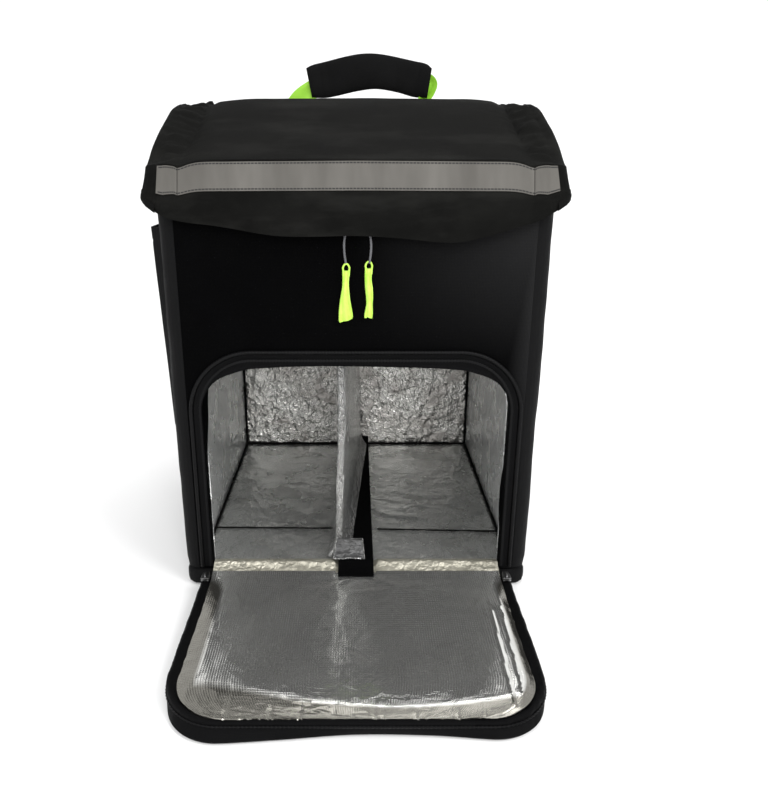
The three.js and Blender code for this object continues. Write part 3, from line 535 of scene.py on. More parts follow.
def makeCloth(name):
    look = cloths[name]
    material, tree, shader, where = startMaterial(name, Roughness=look["rough"], Specular_IOR_Level=look["gloss"])
    weave = placeGroup(tree, "weave", Vector=where["UV"], Thread=look["thread"])
    wear = placeGroup(tree, "wear", Vector=where["Object"])
    tone = sums(tree, "MULTIPLY_ADD", wear["Patch"], look["dust"], 0.22)
    if "painted_highlight" in look:  # painted highlight: the colour is lighter towards the upper right and along the right edge, where the light catches the threads
        at = addNode(tree, "SeparateXYZ", {0: where["Object"]}).outputs
        upper = sums(tree, "MULTIPLY", mapped(tree, at[0], 0.0, 0.15), mapped(tree, at[2], 0.24, 0.37))
        edge = sums(tree, "MULTIPLY", mapped(tree, at[0], 0.142, 0.16), mapped(tree, at[2], 0.03, 0.3, (0.3, 0.9)))
        tone = sums(tree, "MULTIPLY_ADD", sums(tree, "MAXIMUM", upper, edge), look["painted_highlight"],
                    sums(tree, "MULTIPLY", tone, 0.3))
    if "dust_and_sheen" in look:  # lighter colour in long patches: partly rubbed dust, partly painted sheen
        long_ = addNode(tree, "VectorMath", {0: where["Object"], 1: (9.0, 20.0, 34.0)},
                        operation="MULTIPLY").outputs[0]
        tone = sums(tree, "MULTIPLY_ADD", mapped(tree, noiseOf(tree, long_, 1.0, 5.0, 0.62), 0.5, 0.72),
                    look["dust_and_sheen"], tone)
    share = sums(tree, "MULTIPLY", sums(tree, "MULTIPLY_ADD", wear["Speck"], 0.12, tone), weave["Shade"], clamp=True)
    setColour(tree, shader, share, look["dark"], look["light"])
    setRough(tree, shader, wear["Patch"], look["rough"] - 0.06, look["rough"] + 0.1)
    setBump(tree, shader, weave["Height"], look["deep"])
    return material


# Metallised film on foam. Size is the fold's size and deep how far it stands. Net and fold say how much the darker
# colour takes of each: along the net and in random patches it is the film's own duller tone, in the folds it is
# painted shade.
# The lining is one film, but the back wall, floor, divider, front edge, tab and hinge get darker colours than the side
# walls and door: painted shade for the light each place gets.
foils = {
    "foil_back": {"size": 0.009, "deep": 0.0016, "rough": 0.2, "net": 0.15, "film": 0.85, "fold": 0.8,
                  "colour": (0.41, 0.405, 0.39), "dull_and_shade": (0.12, 0.09, 0.078)},
    "foil_floor": {"size": 0.017, "deep": 0.0014, "rough": 0.2, "net": 0.45, "film": 0.8, "fold": 0.5,
                   "colour": (0.69, 0.7, 0.68), "dull_and_shade": (0.26, 0.265, 0.25)},
    "foil_side": {"size": 0.02, "deep": 0.0014, "rough": 0.24, "net": 0.3, "film": 0.7, "fold": 0.4,
                  "colour": (0.86, 0.87, 0.87), "dull_and_shade": (0.42, 0.425, 0.42)},
    "foil_divider": {"size": 0.012, "deep": 0.0018, "rough": 0.16, "net": 0.15, "film": 0.82, "fold": 0.7,
                     "colour": (0.58, 0.58, 0.57), "dull_and_shade": (0.11, 0.11, 0.105)},
    "foil_edge": {"size": 0.0045, "deep": 0.006, "rough": 0.14, "net": 0.0, "film": 0.9, "fold": 1.0,
                  "colour": (0.55, 0.55, 0.54), "dull_and_shade": (0.005, 0.005, 0.005), "painted_glints": (0.4, 0.62)},
    "foil_tab": {"size": 0.008, "deep": 0.002, "rough": 0.35, "net": 0.0, "film": 0.35, "fold": 0.9,
                 "colour": (0.07, 0.07, 0.07), "dull_and_shade": (0.015, 0.015, 0.015)},
    # The door film's colour is painted darker where it rolls over the padded edge: painted shade.
    "foil_door": {"size": 0.03, "deep": 0.0005, "rough": 0.07, "net": 0.4, "film": 0.9, "fold": 0.15,
                  "colour": (0.86, 0.86, 0.83), "dull_and_shade": (0.62, 0.62, 0.6), "spread": 0.05,
                  "painted_rim_shade": (0.24, 0.232, 0.207)},
    "foil_hinge": {"size": 0.006, "deep": 0.0016, "rough": 0.4, "net": 0.1, "film": 0.6, "fold": 0.9,
                   "colour": (0.5, 0.48, 0.4), "dull_and_shade": (0.13, 0.12, 0.09)},
}


def makeFoil(name):
    look = foils[name]
    material, tree, shader, where = startMaterial(name, Metallic=look["film"], Roughness=look["rough"])
    film = placeGroup(tree, "crinkle", Vector=where["UV"], Size=look["size"])
    wear = placeGroup(tree, "wear", Vector=where["UV"], Size=0.05)
    # painted shade: the folds take the darker colour, while the net lines and the random patches give the film's own
    # duller tone
    creased = sums(tree, "MULTIPLY_ADD", film["Fold"], look["fold"],
                   sums(tree, "MULTIPLY", film["Mesh"], look["net"] * 0.3))
    share = sums(tree, "MULTIPLY_ADD", wear["Patch"], 0.6, creased, clamp=True)
    # painted glints and shade: on the divider's front edge the colour jumps between bright specks and near-black,
    # standing in for the crinkled film's reflections
    if "painted_glints" in look:
        share = mapped(tree, share, *look["painted_glints"])
    tone = colourBetween(tree, share, look["colour"], look["dull_and_shade"])
    if "painted_rim_shade" in look:  # painted shade: the film's colour is darker where it rolls over the edge
        edge = mapped(tree, addNode(tree, "Attribute", attribute_name="roll").outputs["Fac"], 0.0, 0.25)
        tone = addNode(tree, "Mix", {0: edge, 6: tone, 7: (*look["painted_rim_shade"], 1)}, data_type="RGBA").outputs[2]
    tree.links.new(tone, shader.inputs["Base Color"])
    setRough(tree, shader, wear["Patch"], look["rough"], look["rough"] + look.get("spread", 0.16))
    under = setBump(tree, shader, film["Height"], look["deep"])
    setBump(tree, shader, film["Mesh"], 0.00012, look["net"], under)
    return material


# Moulded and plated finishes: dark, light, the grain's scale and its depth.
finishes = {
    "piping": ((0.0012, 0.0012, 0.0014), (0.004, 0.004, 0.0044), 500.0, 0.0001,
               dict(Roughness=0.42, Specular_IOR_Level=0.1)),
    "slider_metal": ((0.1, 0.1, 0.1), (0.3, 0.3, 0.3), 800.0, 0.00004, dict(Metallic=1.0, Roughness=0.32)),
    "pull_cord": ((0.05, 0.05, 0.055), (0.14, 0.14, 0.15), 2500.0, 0.0002, dict(Roughness=0.6, Sheen_Weight=0.1)),
    "lime_pull": ((0.36, 0.68, 0.035), (0.62, 0.92, 0.16), 300.0, 0.0003, dict(Roughness=0.45, Sheen_Weight=0.1)),
    "buckle_plastic": ((0.006, 0.006, 0.0065), (0.014, 0.014, 0.015), 900.0, 0.00005, dict(Roughness=0.42)),
}


def makeSimple(name, dark, light, scale, deep, **settings):  # a moulded or plated finish with fine grain
    material, tree, shader, where = startMaterial(name, **settings)
    grain = noiseOf(tree, where["Object"], scale, 4.0, 0.6)
    patch = placeGroup(tree, "wear", Vector=where["Object"], Size=0.02)["Patch"]
    share = sums(tree, "MULTIPLY_ADD", patch, 0.5, sums(tree, "MULTIPLY", grain, 0.5), clamp=True)
    setColour(tree, shader, share, dark, light)
    rough = settings.get("Roughness", 0.5)
    setRough(tree, shader, patch, rough, rough + 0.12)
    setBump(tree, shader, grain, deep)
    return material


# Reflective tape, with a row of stitches along both long edges.
tapeLook = {"dark": (0.077, 0.073, 0.066), "light": (0.127, 0.121, 0.111), "thread": (0.03, 0.03, 0.03),
            "edge": 0.0016, "height": 0.025}


def makeReflective():
    material, tree, shader, where = startMaterial("reflective", Roughness=0.6, Metallic=0.1, Specular_IOR_Level=0.1)
    across = addNode(tree, "SeparateXYZ", {0: where["UV"]})
    flat = sums(tree, "MULTIPLY", across.outputs[1], 0.25)
    long_ = addNode(tree, "CombineXYZ", {0: across.outputs[0], 1: flat}).outputs[0]
    bands = noiseOf(tree, long_, 26.0, 3.0, 0.55)
    beads = noiseOf(tree, where["UV"], 2400.0, 1.0)
    share = sums(tree, "MULTIPLY_ADD", sums(tree, "SUBTRACT", beads, 0.5), 0.35, mapped(tree, bands, 0.3, 0.7),
                 clamp=True)
    plain = colourBetween(tree, share, tapeLook["dark"], tapeLook["light"])
    rows = []
    for edge in (tapeLook["edge"], tapeLook["height"] - tapeLook["edge"]):
        off = sums(tree, "SUBTRACT", across.outputs[1], edge)
        rows.append(placeGroup(tree, "stitches", Along=across.outputs[0], Off=off, Pitch=0.003, Wide=0.0007))
    thread = sums(tree, "MAXIMUM", rows[0]["Thread"], rows[1]["Thread"])
    node = addNode(tree, "Mix", {0: thread, 6: plain, 7: (*tapeLook["thread"], 1)}, data_type="RGBA")
    tree.links.new(node.outputs[2], shader.inputs["Base Color"])
    high = sums(tree, "SUBTRACT", sums(tree, "MULTIPLY", beads, 0.2), thread)
    setBump(tree, shader, high, 0.0003)
    return material


def makeMesh():  # open knit with small holes, for the wearer's side
    material, tree, shader, where = startMaterial("back_mesh", Roughness=0.85, Sheen_Weight=0.15, Sheen_Roughness=0.5)
    cells = addNode(tree, "TexVoronoi", {"Vector": where["UV"], "Scale": 330.0, "Randomness": 0.15},
                    feature="F1").outputs["Distance"]
    knit = mapped(tree, cells, 0.2, 0.45)
    wear = placeGroup(tree, "wear", Vector=where["Object"])
    share = sums(tree, "MULTIPLY_ADD", wear["Patch"], 0.2, sums(tree, "MULTIPLY", knit, 0.8), clamp=True)
    setColour(tree, shader, share, (0.003, 0.003, 0.0032), (0.018, 0.018, 0.019))
    setBump(tree, shader, knit, 0.0006)
    return material


def makeHook():  # hook-and-loop tape, a short dull pile
    material, tree, shader, where = startMaterial("hook_and_loop", Roughness=0.95, Specular_IOR_Level=0.03)
    pile = noiseOf(tree, where["UV"], 1600.0, 3.0, 0.7)
    rows = addNode(tree, "TexVoronoi", {"Vector": where["UV"], "Scale": 700.0, "Randomness": 0.3},
                   feature="F1").outputs["Distance"]
    height = sums(tree, "MULTIPLY_ADD", rows, 0.7, pile)
    setColour(tree, shader, mapped(tree, height, 0.4, 1.2), (0.0005, 0.0005, 0.0006), (0.0026, 0.0026, 0.0028))
    setBump(tree, shader, height, 0.0005)
    return material


looks = {}
setStudio()
print("studio ready")
groups.update(weave=makeWeave(), wear=makeWear(), crinkle=makeCrinkle(), stitches=makeStitches())
looks.update({name: makeCloth(name) for name in cloths})
looks.update({name: makeFoil(name) for name in foils})
looks["reflective"] = makeReflective()
looks["back_mesh"] = makeMesh()
looks["hook_and_loop"] = makeHook()
for name, (dark, light, scale, deep, settings) in finishes.items():
    looks[name] = makeSimple(name, dark, light, scale, deep, **settings)
print("materials ready")

# The two pull cords hang from their sliders under the hem.
cord = {
    "front": -175, "wide": 2, "starts": {"left": (-9, -1), "right": (12, 1)},
    "route": [(0, 4.6, 362.4), (0.6, 6, 356), (1.4, 6.6, 349), (1.1, 5.8, 341), (0, 3.8, 332.3)],
}


def catmull(points, share):  # a point on a smooth line through points
    spot = min(share, 0.999999) * (len(points) - 1)
    i = int(spot)
    s = spot - i
    p = [Vector(points[min(max(i + k, 0), len(points) - 1)]) for k in (-1, 0, 1, 2)]
    if i == 0:
        p[0] = 2 * p[1] - p[2]
    if i == len(points) - 2:
        p[3] = 2 * p[2] - p[1]
    return 0.5 * (2 * p[1] + (p[2] - p[0]) * s + (2 * p[0] - 5 * p[1] + 4 * p[2] - p[3]) * s * s
                  + (3 * p[1] - p[0] - 3 * p[2] + p[3]) * s ** 3)


def headingOn(points, share, step):  # the way along such a line
    return (catmull(points, min(1, share + step)) - catmull(points, max(0, share - step))).normalized()


def pullCord(word):
    x, bend = cord["starts"][word]
    points = [(x + bend * side, cord["front"] - out, height) for side, out, height in cord["route"]]
    line = bpy.data.curves.new("pull_cord_line_" + word, "CURVE")
    line.dimensions, line.bevel_depth, line.bevel_resolution, line.use_fill_caps = "3D", cord["wide"] / 2 * mm, 3, True
    spline = line.splines.new("POLY")
    spline.points.add(15)
    for k, point in enumerate(spline.points):
        point.co = (*(catmull(points, k / 15) * mm), 1)
    piece = bpy.data.objects.new("pull_cord_line_" + word, line)
    bpy.context.scene.collection.objects.link(piece)
    line.materials.append(looks["pull_cord"])
    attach(piece, "root")
    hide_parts("pull_cord_" + word)
    length = sum((spline.points[k + 1].co.xyz - spline.points[k].co.xyz).length for k in range(15))
    return piece, length, Vector(spline.points[0].co.xyz)


cords = {word: pullCord(word) for word in ("left", "right")}
print("cords laid")

# The lime pulls: soft ribbons folded lengthwise, each with an eye that the cord goes through.
pullShape = {
    "thick": 1.9, "out": 3.1, "front": -175, "eye": 0.85,
    "left": {"top": 325.5, "low": 280, "slant": -1.5, "middle": [(0, -8.7), (0.3, -9.2), (0.6, -9.6), (1, -9.3)],
             "half": [(0, 3.1), (0.15, 2.8), (0.3, 2.8), (0.5, 3.9), (0.7, 5.1), (0.9, 6.1), (1, 6.1)]},
    "right": {"top": 327.5, "low": 282.5, "slant": 0.3,
              "middle": [(0, 11.5), (0.2, 11.1), (0.4, 11.8), (0.6, 12.5), (0.75, 12.2), (1, 11.1)],
              "half": [(0, 3.1), (0.2, 2.9), (0.4, 3.2), (0.6, 2.9), (0.72, 2.5), (0.9, 3.4), (1, 3.6)]},
}


def pullTab(word):
    shape = pullShape[word]

    def lay(u, w):
        side = 2 * u - 1
        half = smooth(shape["half"], w)
        x = smooth(shape["middle"], w) + side * half * (1 - 0.1 * blendIn(w, 0.96, 1) * abs(side))
        ridges = 0.75 * math.cos(side * 2.7 * math.pi / 1.6 + 0.9 * math.sin(w * 4)) * (0.4 + 0.12 * half)
        notch = 1.1 * hump(side, 0.35) * blendIn(w, 0.93, 1)
        z = mix(shape["top"], shape["low"], w) + shape["slant"] * -side * blendIn(w, 0.7,
                1) + notch * (word == "right")
        bow = 0.9 * math.sin(w * math.pi * 1.5 + (2 if word == "right" else 0))
        return x, pullShape["front"] - pullShape["out"] - ridges - bow * 0.5 + 0.5 * abs(side) ** 3, z
    body = facing(clothGrid("pull_body_" + word, 20, 60, lay, (12, 46)), (0, -1, 0))
    thicken(body, pullShape["thick"], 0)
    bevelled(body, 0.7, 3)
    half, middle, top = smooth(shape["half"], 0), smooth(shape["middle"], 0), shape["top"]
    line = [(-half + 0.8, -5), (-half + 0.5, 0), (-half + 0.2, 2.5), (-half * 0.6, 5), (0, 6.2),
            (half * 0.6, 5), (half - 0.2, 2.5), (half - 0.5, 0), (half - 0.8, -5)]
    points = [(middle + x, pullShape["front"] - pullShape["out"] - 0.2, top + z) for x, z in line]

    def place(u, out, up):
        return catmull(points, u) + headingOn(points, u, 0.01).cross(Vector((0, 1, 0))) * out + Vector((0, up, 0))
    size = pullShape["eye"]
    eye = swept("pull_eye_" + word, 40, flatOval(2 * size, 2.6 * size, 10), place, 24)
    piece = joined("pull_tab_" + word + "_detail", body, eye)
    return handIn(piece, "lime_pull", "pull_tab_" + word, angle=60)


for word in ("left", "right"):
    pull = pullTab(word)
    piece, length, top = cords[word]
    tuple(top)
print("pulls made")

# The lid: the same lines as the solid, with its gathers, seams, folds and stitches.
lid = {
    "half": 184, "front": -178, "seam": 152, "corner": 18, "low": 420, "ridge": 480, "crown": 8, "cloth": 3,
    "drop": 65, "sideDrop": 36, "flare": 11, "tuck": -1.5, "wave": 4, "tape": 25,
    "cornerFall": [(-178, 0.5), (-172, 4), (-164, 8), (-156, 9), (-148, 7.2), (-136, 3.7), (-120, 1), (-105, 0),
                   (175, 0)],
    "ridgeFall": [(-178, 0), (-80, 0), (-56, 1), (-30, 5.5), (0, 10), (60, 10), (175, 5)], "bound": 173,
    "profile": [(0, 0.75), (0.15, 0.88), (0.32, 0.97), (0.46, 1), (0.53, 0.98), (0.64, 0.79), (0.8, 0.42), (1, 0)],
    "lift": [(0, 0), (0.3, -0.05), (0.6, -0.1), (0.77, -0.3), (0.81, -0.65), (0.826, -0.85), (0.845, -0.5),
             (0.87, -0.25), (0.93, 0.2), (0.965, 0.45), (0.985, 0.25), (1, -0.35)],
    "frontLift": [(0, 0), (0.3, -0.05), (0.6, -0.1), (0.72, -0.15), (0.77, -0.35), (0.826, -0.75), (0.86, -0.6),
                  (0.93, -0.45), (0.97, -0.42), (1, -0.45)],
    "hem": [(-1, 0.5), (-0.92, 0.69), (-0.84, 0.77), (-0.64, 0.85), (-0.36, 0.97), (0, 0.97), (0.2, 1),
            (0.46, 1.05), (0.62, 0.97), (0.75, 0.86), (0.87, 0.75), (1, 0.5)],
    "hemOut": [(-1, 0), (-0.92, 0), (-0.84, 0.3), (-0.64, -0.2), (-0.36, 0.6), (0, 0), (0.2, 0.2), (0.48, 0.9),
               (0.68, 0.45), (0.87, 0.4), (1, 0)],
    "skirt": [(0, 0), (0.6, 0.73), (0.8, 0.95), (1, 1)],
    "gather": 3.9, "gatherPitch": 8, "puff": 1.6,
}


def lidTop(y):
    return lid["low"] + (lid["ridge"] - lid["low"]) * smooth(lid["profile"],
            (bag["back"] - y) / (bag["back"] - lid["front"]))


def seamDip(share, y):  # the seam's groove is shallow at the front, under the tape
    deep = smooth(lid["lift"], share)
    flat = smooth(lid["frontLift"], share)
    return mix(flat, deep, blendIn(y, lid["front"] + 6, lid["front"] + 50))


def lidPoint(across, y):
    side, share = math.copysign(1, across), abs(across)
    past = max(0, lid["front"] + lid["corner"] - y)
    inset = lid["corner"] - math.sqrt(max(0, lid["corner"] ** 2 - past ** 2))
    outer = max(0, (share - lid["seam"] / lid["half"]) / (1 - lid["seam"] / lid["half"]))
    x = across * lid["half"] - side * inset * outer
    drop = smooth(lid["cornerFall"], y) * outer ** 1.3 + smooth(lid["ridgeFall"], y) * blendIn(outer, 0, 0.6)
    off = (share - lid["seam"] / lid["half"]) * lid["half"]
    calm = blendIn(y, lid["front"], lid["front"] + 26)
    wing = blendIn(off, 0, 4) * (1 - blendIn(off, 14, 31)) if off > 0 else 0
    inward = math.exp(off / 9) if off < 0 else 0
    bend = 0.5 * ripple(y, off, 30, 4 + side)
    pleat = noise.noise(Vector((y / lid["gatherPitch"] + 0.3 * off / 8 + bend, side * 4, off / 22)))
    uneven = 0.55 + 0.9 * abs(ripple(y, 0, 34, 11 + side)) + 0.4 * blendIn(y, -60, 60)
    fold = lid["gather"] * (wing + 0.3 * inward) * pleat * 1.5 * uneven
    fold += 1.5 * wing * crease(y + off * 0.8 * side, off * 1.6, 24, 5 + side) * uneven - 0.5 * wing
    pad = lid["puff"] * (1 - blendIn(share, 0.6, 0.8)) * (0.35 + 0.4 * ripple(x, y, 120, 2)) * blendIn(y,
            lid["front"], lid["front"] + 60)
    soft = 0.6 * ripple(x, y, 38, 7) * calm
    sewn = 1.5 * hump(share * lid["half"] - lid["bound"], 1.2) * calm  # the line where the wing's edge is bound
    return Vector((x, y, lidTop(y) + seamDip(share, y) * lid["crown"] - drop - sewn + (fold + soft + pad) * calm))


def hemHeight(point, forward):
    low = lid["low"] - lid["drop"] * smooth(lid["hem"], point.x / lid["half"])
    return mix(lidTop(point.y) - lid["sideDrop"], low, forward)


def lidRim(share):  # from the back left, round the front, to the back right: point, nx, ny
    depth, width = bag["back"] - lid["front"], 2 * lid["half"]
    s = share * (2 * depth + width)
    if depth < s < depth + width:
        return lidPoint((s - depth) / width * 2 - 1, lid["front"]), 0.0, -1.0
    side = -1 if s <= depth else 1
    y = bag["back"] - (s if side < 0 else 2 * depth + width - s)
    past = min(1, max(0, lid["front"] + lid["corner"] - y) / lid["corner"])
    return lidPoint(side, y), side * math.sqrt(1 - past ** 2), -past


def skirtPoint(share, fall, out, folds=1.0):
    point, nx, ny = lidRim(share)
    total = point.z - hemHeight(point, -ny)
    first = min(lid["tape"] + 1, total * 0.6)
    level = first * fall / 0.6 if fall <= 0.6 else mix(first, total, (fall - 0.6) / 0.4)
    flare = straight(lid["skirt"], fall) * mix(-lid["tuck"], lid["flare"], -ny)
    low = max(0, fall - 0.6) / 0.4
    wave = lid["wave"] * low * -ny * smooth(lid["hemOut"], point.x / lid["half"])
    hang = low * (1 - 0.55 * low) * -ny
    left = 1 + 1.1 * hump(point.x + 120, 34)
    soft = folds * left * (2.6 * ripple(point.x * 0.4, level * 1.7, 21, 3) + 1.1
                           * ripple(point.x, level * 2.2, 12, 9)) * hang
    soft += folds * 3 * crease(point.x * 0.22 + level * 0.3, level * 1.9, 23, 6) * hang * (1 - blendIn(low, 0.8, 1))
    soft -= 0.9 * hump(low - 0.5, 0.035) * -ny  # the sewn line along the drop
    side = folds * 1.1 * ripple(point.y, level * 0.6, 17, 12) * math.sin(fall * math.pi) * (1 + ny)
    tapeWave = 0.5 * ripple(point.x, 0, 33, 21) * min(1, fall * 4) * (1 - low)
    reach = flare + wave + soft + side + tapeWave + out
    even = (smooth(lid["frontLift"], 0.6) - smooth(lid["frontLift"], abs(point.x) / lid["half"])) * lid["crown"]
    lift = even * 0.35 * min(1, fall / 0.577) * (1 - low) * -ny * (1 - blendIn(abs(point.x), 154, 165))
    reach -= 0.9 * hump(ny + 0.93, 0.02)
    return Vector((point.x + nx * reach, point.y + ny * reach, point.z - level + lift))


def lidFlap():
    depth, width = bag["back"] - lid["front"], 2 * lid["half"]
    columns, rows, levels = 140, 124, 32
    top = clothGrid("lid_top", columns, rows, lambda u,
                    w: lidPoint(2 * u - 1, mix(lid["front"], bag["back"], w)), (width, depth))
    stations = 2 * rows + columns

    def stationShare(u):  # the rim's stations fall on the top's edge points
        k = round(u * stations)
        if k <= rows:
            s = k / rows * depth
        elif k <= rows + columns:
            s = depth + (k - rows) / columns * width
        else:
            s = depth + width + (k - rows - columns) / rows * depth
        return s / (2 * depth + width)
    skirt = clothGrid("lid_skirt", stations, levels, lambda u, w: skirtPoint(stationShare(u), 1 - w, 0),
                      (2 * depth + width, 65))
    piece = welded(joined("lid_outer", top, skirt))
    thicken(piece, lid["cloth"], -1)
    return handIn(piece, "lid_cloth", "lid_flap", angle=60)


lidFlap()
print("lid made")

# Grey tape across the skirt, its end tabs, and the bindings along the wings' hems.
trim = {"gap": 0.3, "thick": 1, "from": 0.03, "to": 0.577, "seam": 152.3, "binding": 1.2, "hem": 7}


def skirtStrip(name, columns, rows, shares, falls, thick, size, fade=0):
    def lay(u, w):
        share = mix(shares[0], shares[1], u)
        top = falls[0] if isinstance(falls[0], float) else falls[0](share)
        full = blendIn(min(u, 1 - u), 0, fade) if fade else 1
        return skirtPoint(share, mix(falls[1], top, w), (trim["gap"] + thick) * (0.15 + 0.85 * full))
    piece = clothGrid(name, columns, rows, lay, size)
    thicken(piece, thick, -1)
    return bevelled(piece, 0.3, 2)


def hemStart(share):  # how far down the skirt its hem's binding starts
    point, _, ny = lidRim(share)
    total = point.z - hemHeight(point, -ny)
    first = min(lid["tape"] + 1, total * 0.6)
    return 1 - 0.4 * min(1, trim["hem"] / (total - first))


def rimShare(x):  # where the front of the rim has this x, on its straight part
    depth, width = bag["back"] - lid["front"], 2 * lid["half"]
    across = x / lid["half"]
    return (depth + (across + 1) / 2 * width) / (2 * depth + width)


def turnShare(side, forward):  # a share on the round corner
    depth, width = bag["back"] - lid["front"], 2 * lid["half"]
    s = depth - lid["corner"] * (1 - forward)
    share = s / (2 * depth + width)
    return share if side < 0 else 1 - share


bands = [skirtStrip("reflective_band", 200, 8, (rimShare(-trim["seam"]), rimShare(trim["seam"])),
                    (trim["from"], trim["to"]), trim["thick"], (305, 25))]
handIn(bands[0], "reflective", "reflective_tape")
for word, side in (("left", -1), ("right", 1)):
    ends = sorted((rimShare(side * (trim["seam"] + 0.8)), turnShare(side, 0.985 if side < 0 else 0.95)))
    tab = skirtStrip("tape_tab_" + word + "_detail", 26, 8, ends, (trim["from"], trim["to"]), trim["thick"]
                     + 0.15, (26, 25))
    handIn(tab, "reflective", "tape_tab_" + word)
    ends = (0.001, turnShare(-1, 0.97)) if side < 0 else (turnShare(1, 0.97), 0.999)
    edge = skirtStrip("lid_binding_" + word + "_detail", 150, 5, ends, (hemStart, 1.0), trim["binding"],
                      (360, 8), fade=0.05)
    handIn(edge, "binding", "lid_binding_" + word)
print("tape and bindings made")

# The walls: padded cloth panels that stand on the base.
walls = {
    "bulge": [(0, 0.5), (0.15, 0.9), (0.45, 1), (0.75, 0.9), (0.88, 0.8), (1, 0.7)], "out": 3.4, "dent": 1.1,
    "archHalf": 157, "archTop": 250, "archRadius": 60, "archInset": 10, "sill": 24, "foot": 20, "underLid": 10,
}


def sideTop(y):
    return lidTop(y) - walls["underLid"]


def sideOut(y, z):
    height = (z - walls["foot"]) / (sideTop(y) - walls["foot"])
    along = 2 * y / (2 * bag["half"] - 2 * bag["corner"])
    return walls["out"] * straight(walls["bulge"], height) * max(0.4, 1 - 0.6 * along ** 4)


def sidePanel(word, side):
    reach, radius = bag["half"] - bag["corner"], bag["corner"]
    arc = math.pi / 2 * radius
    total = 2 * reach + 2 * arc

    def lay(u, w):
        s = u * total
        if s < arc:
            a, y = -math.pi / 2 + s / radius, -reach
        elif s <= arc + 2 * reach:
            a, y = 0, s - arc - reach
        else:
            a, y = (s - arc - 2 * reach) / radius, reach
        nx, ny = math.cos(a), math.sin(a)
        z = mix(bag["baseTop"], sideTop(y + ny * radius), w)
        calm = blendIn(w, 0, 0.06) * (1 - blendIn(w, 0.9, 1)) * nx
        dent = walls["dent"] * ripple(y, z, 70, 4 + side) + 0.5 * ripple(y, z, 24, 8 + side)
        r = radius + nx * sideOut(y, z) + dent * calm - 1.2 * (1 - blendIn(w, 0, 0.03))
        return side * (reach + nx * r), y + ny * r, z
    piece = clothGrid("side_wall_" + word, 92, 84, lay, (total, 400))
    if side < 0:
        turned(piece)
    thicken(piece, bag["wall"] - 0.6, -1)
    return handIn(piece, "wall_cloth", "side_panel_" + word)


# The front from the arch outwards, or the lining behind it: inset from the piping's line to the panel's edge.
def archedPanel(name, y, half, foot, top, inset, columns, rows, relief):
    def lay(u, w):
        x, z, nx, nz = threeSides(u, walls["archHalf"], walls["archTop"], walls["archRadius"], foot)
        inner = (x - nx * inset, z - nz * inset)
        if nz == 0:
            edge = (math.copysign(half, x), z)
        elif nx == 0:
            edge = (x, top)
        else:
            cx, cz = math.copysign(walls["archHalf"] - walls["archRadius"],
                                   nx), walls["archTop"] - walls["archRadius"]
            reach = min((half - abs(cx)) / abs(nx), (top - cz) / nz)
            edge = (cx + nx * reach, cz + nz * reach)
        share = w ** 1.3
        px, pz = mix(inner[0], edge[0], share), mix(inner[1], edge[1], share)
        return px, y - relief(px, pz, w), pz
    piece = clothGrid(name, columns, rows, lay)
    uv = piece.data.uv_layers.active.data
    for loop in piece.data.loops:
        co = piece.data.vertices[loop.vertex_index].co
        uv[loop.index].uv = (co.x, co.z)
    return piece


def frontRelief(x, z, w):
    calm = blendIn(w, 0.12, 0.3)
    pull = 0.7 * hump(z - 262, 14) * (1 - (x / 165) ** 2)
    return (0.8 * ripple(x, z, 60, 2) + 0.5 * ripple(x * 2, z * 0.6, 30, 5)) * calm * (1
            - blendIn(abs(x), 150, 160)) + pull


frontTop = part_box("front_panel")[1].z / mm
front = facing(archedPanel("front_wall", bag["front"], 160.8, bag["baseTop"], frontTop, walls["archInset"], 154,
                           46, frontRelief), (0, -1, 0))
thicken(front, bag["wall"] - 0.4, -1)
bevelled(front, 0.8, 2)
handIn(front, "front_cloth", "front_panel")
for word, side in (("left", -1), ("right", 1)):
    sidePanel(word, side)

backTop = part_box("back_panel")[1].z / mm


def backWall(u, w):
    x, z = mix(160.6, -160.6, u), mix(bag["baseTop"], backTop, w)
    edge = min(u, 1 - u, w, 1 - w)
    return x, bag["back"] - 0.6 * (1 - blendIn(edge, 0, 0.04)) + 0.25 * ripple(x, z, 60, 6) * blendIn(edge, 0,
            0.1) - 0.3, z


rear = sheetOf("back_wall", 60, 80, backWall, (321, 430), (0, 1, 0), bag["wall"] - 0.8)
bevelled(rear, 1, 2)
handIn(rear, "wall_cloth", "back_panel")

# The base: a low padded box with soft edges.
baseShape = {"half": 176, "thick": 20, "corner": 14, "soft": 5}


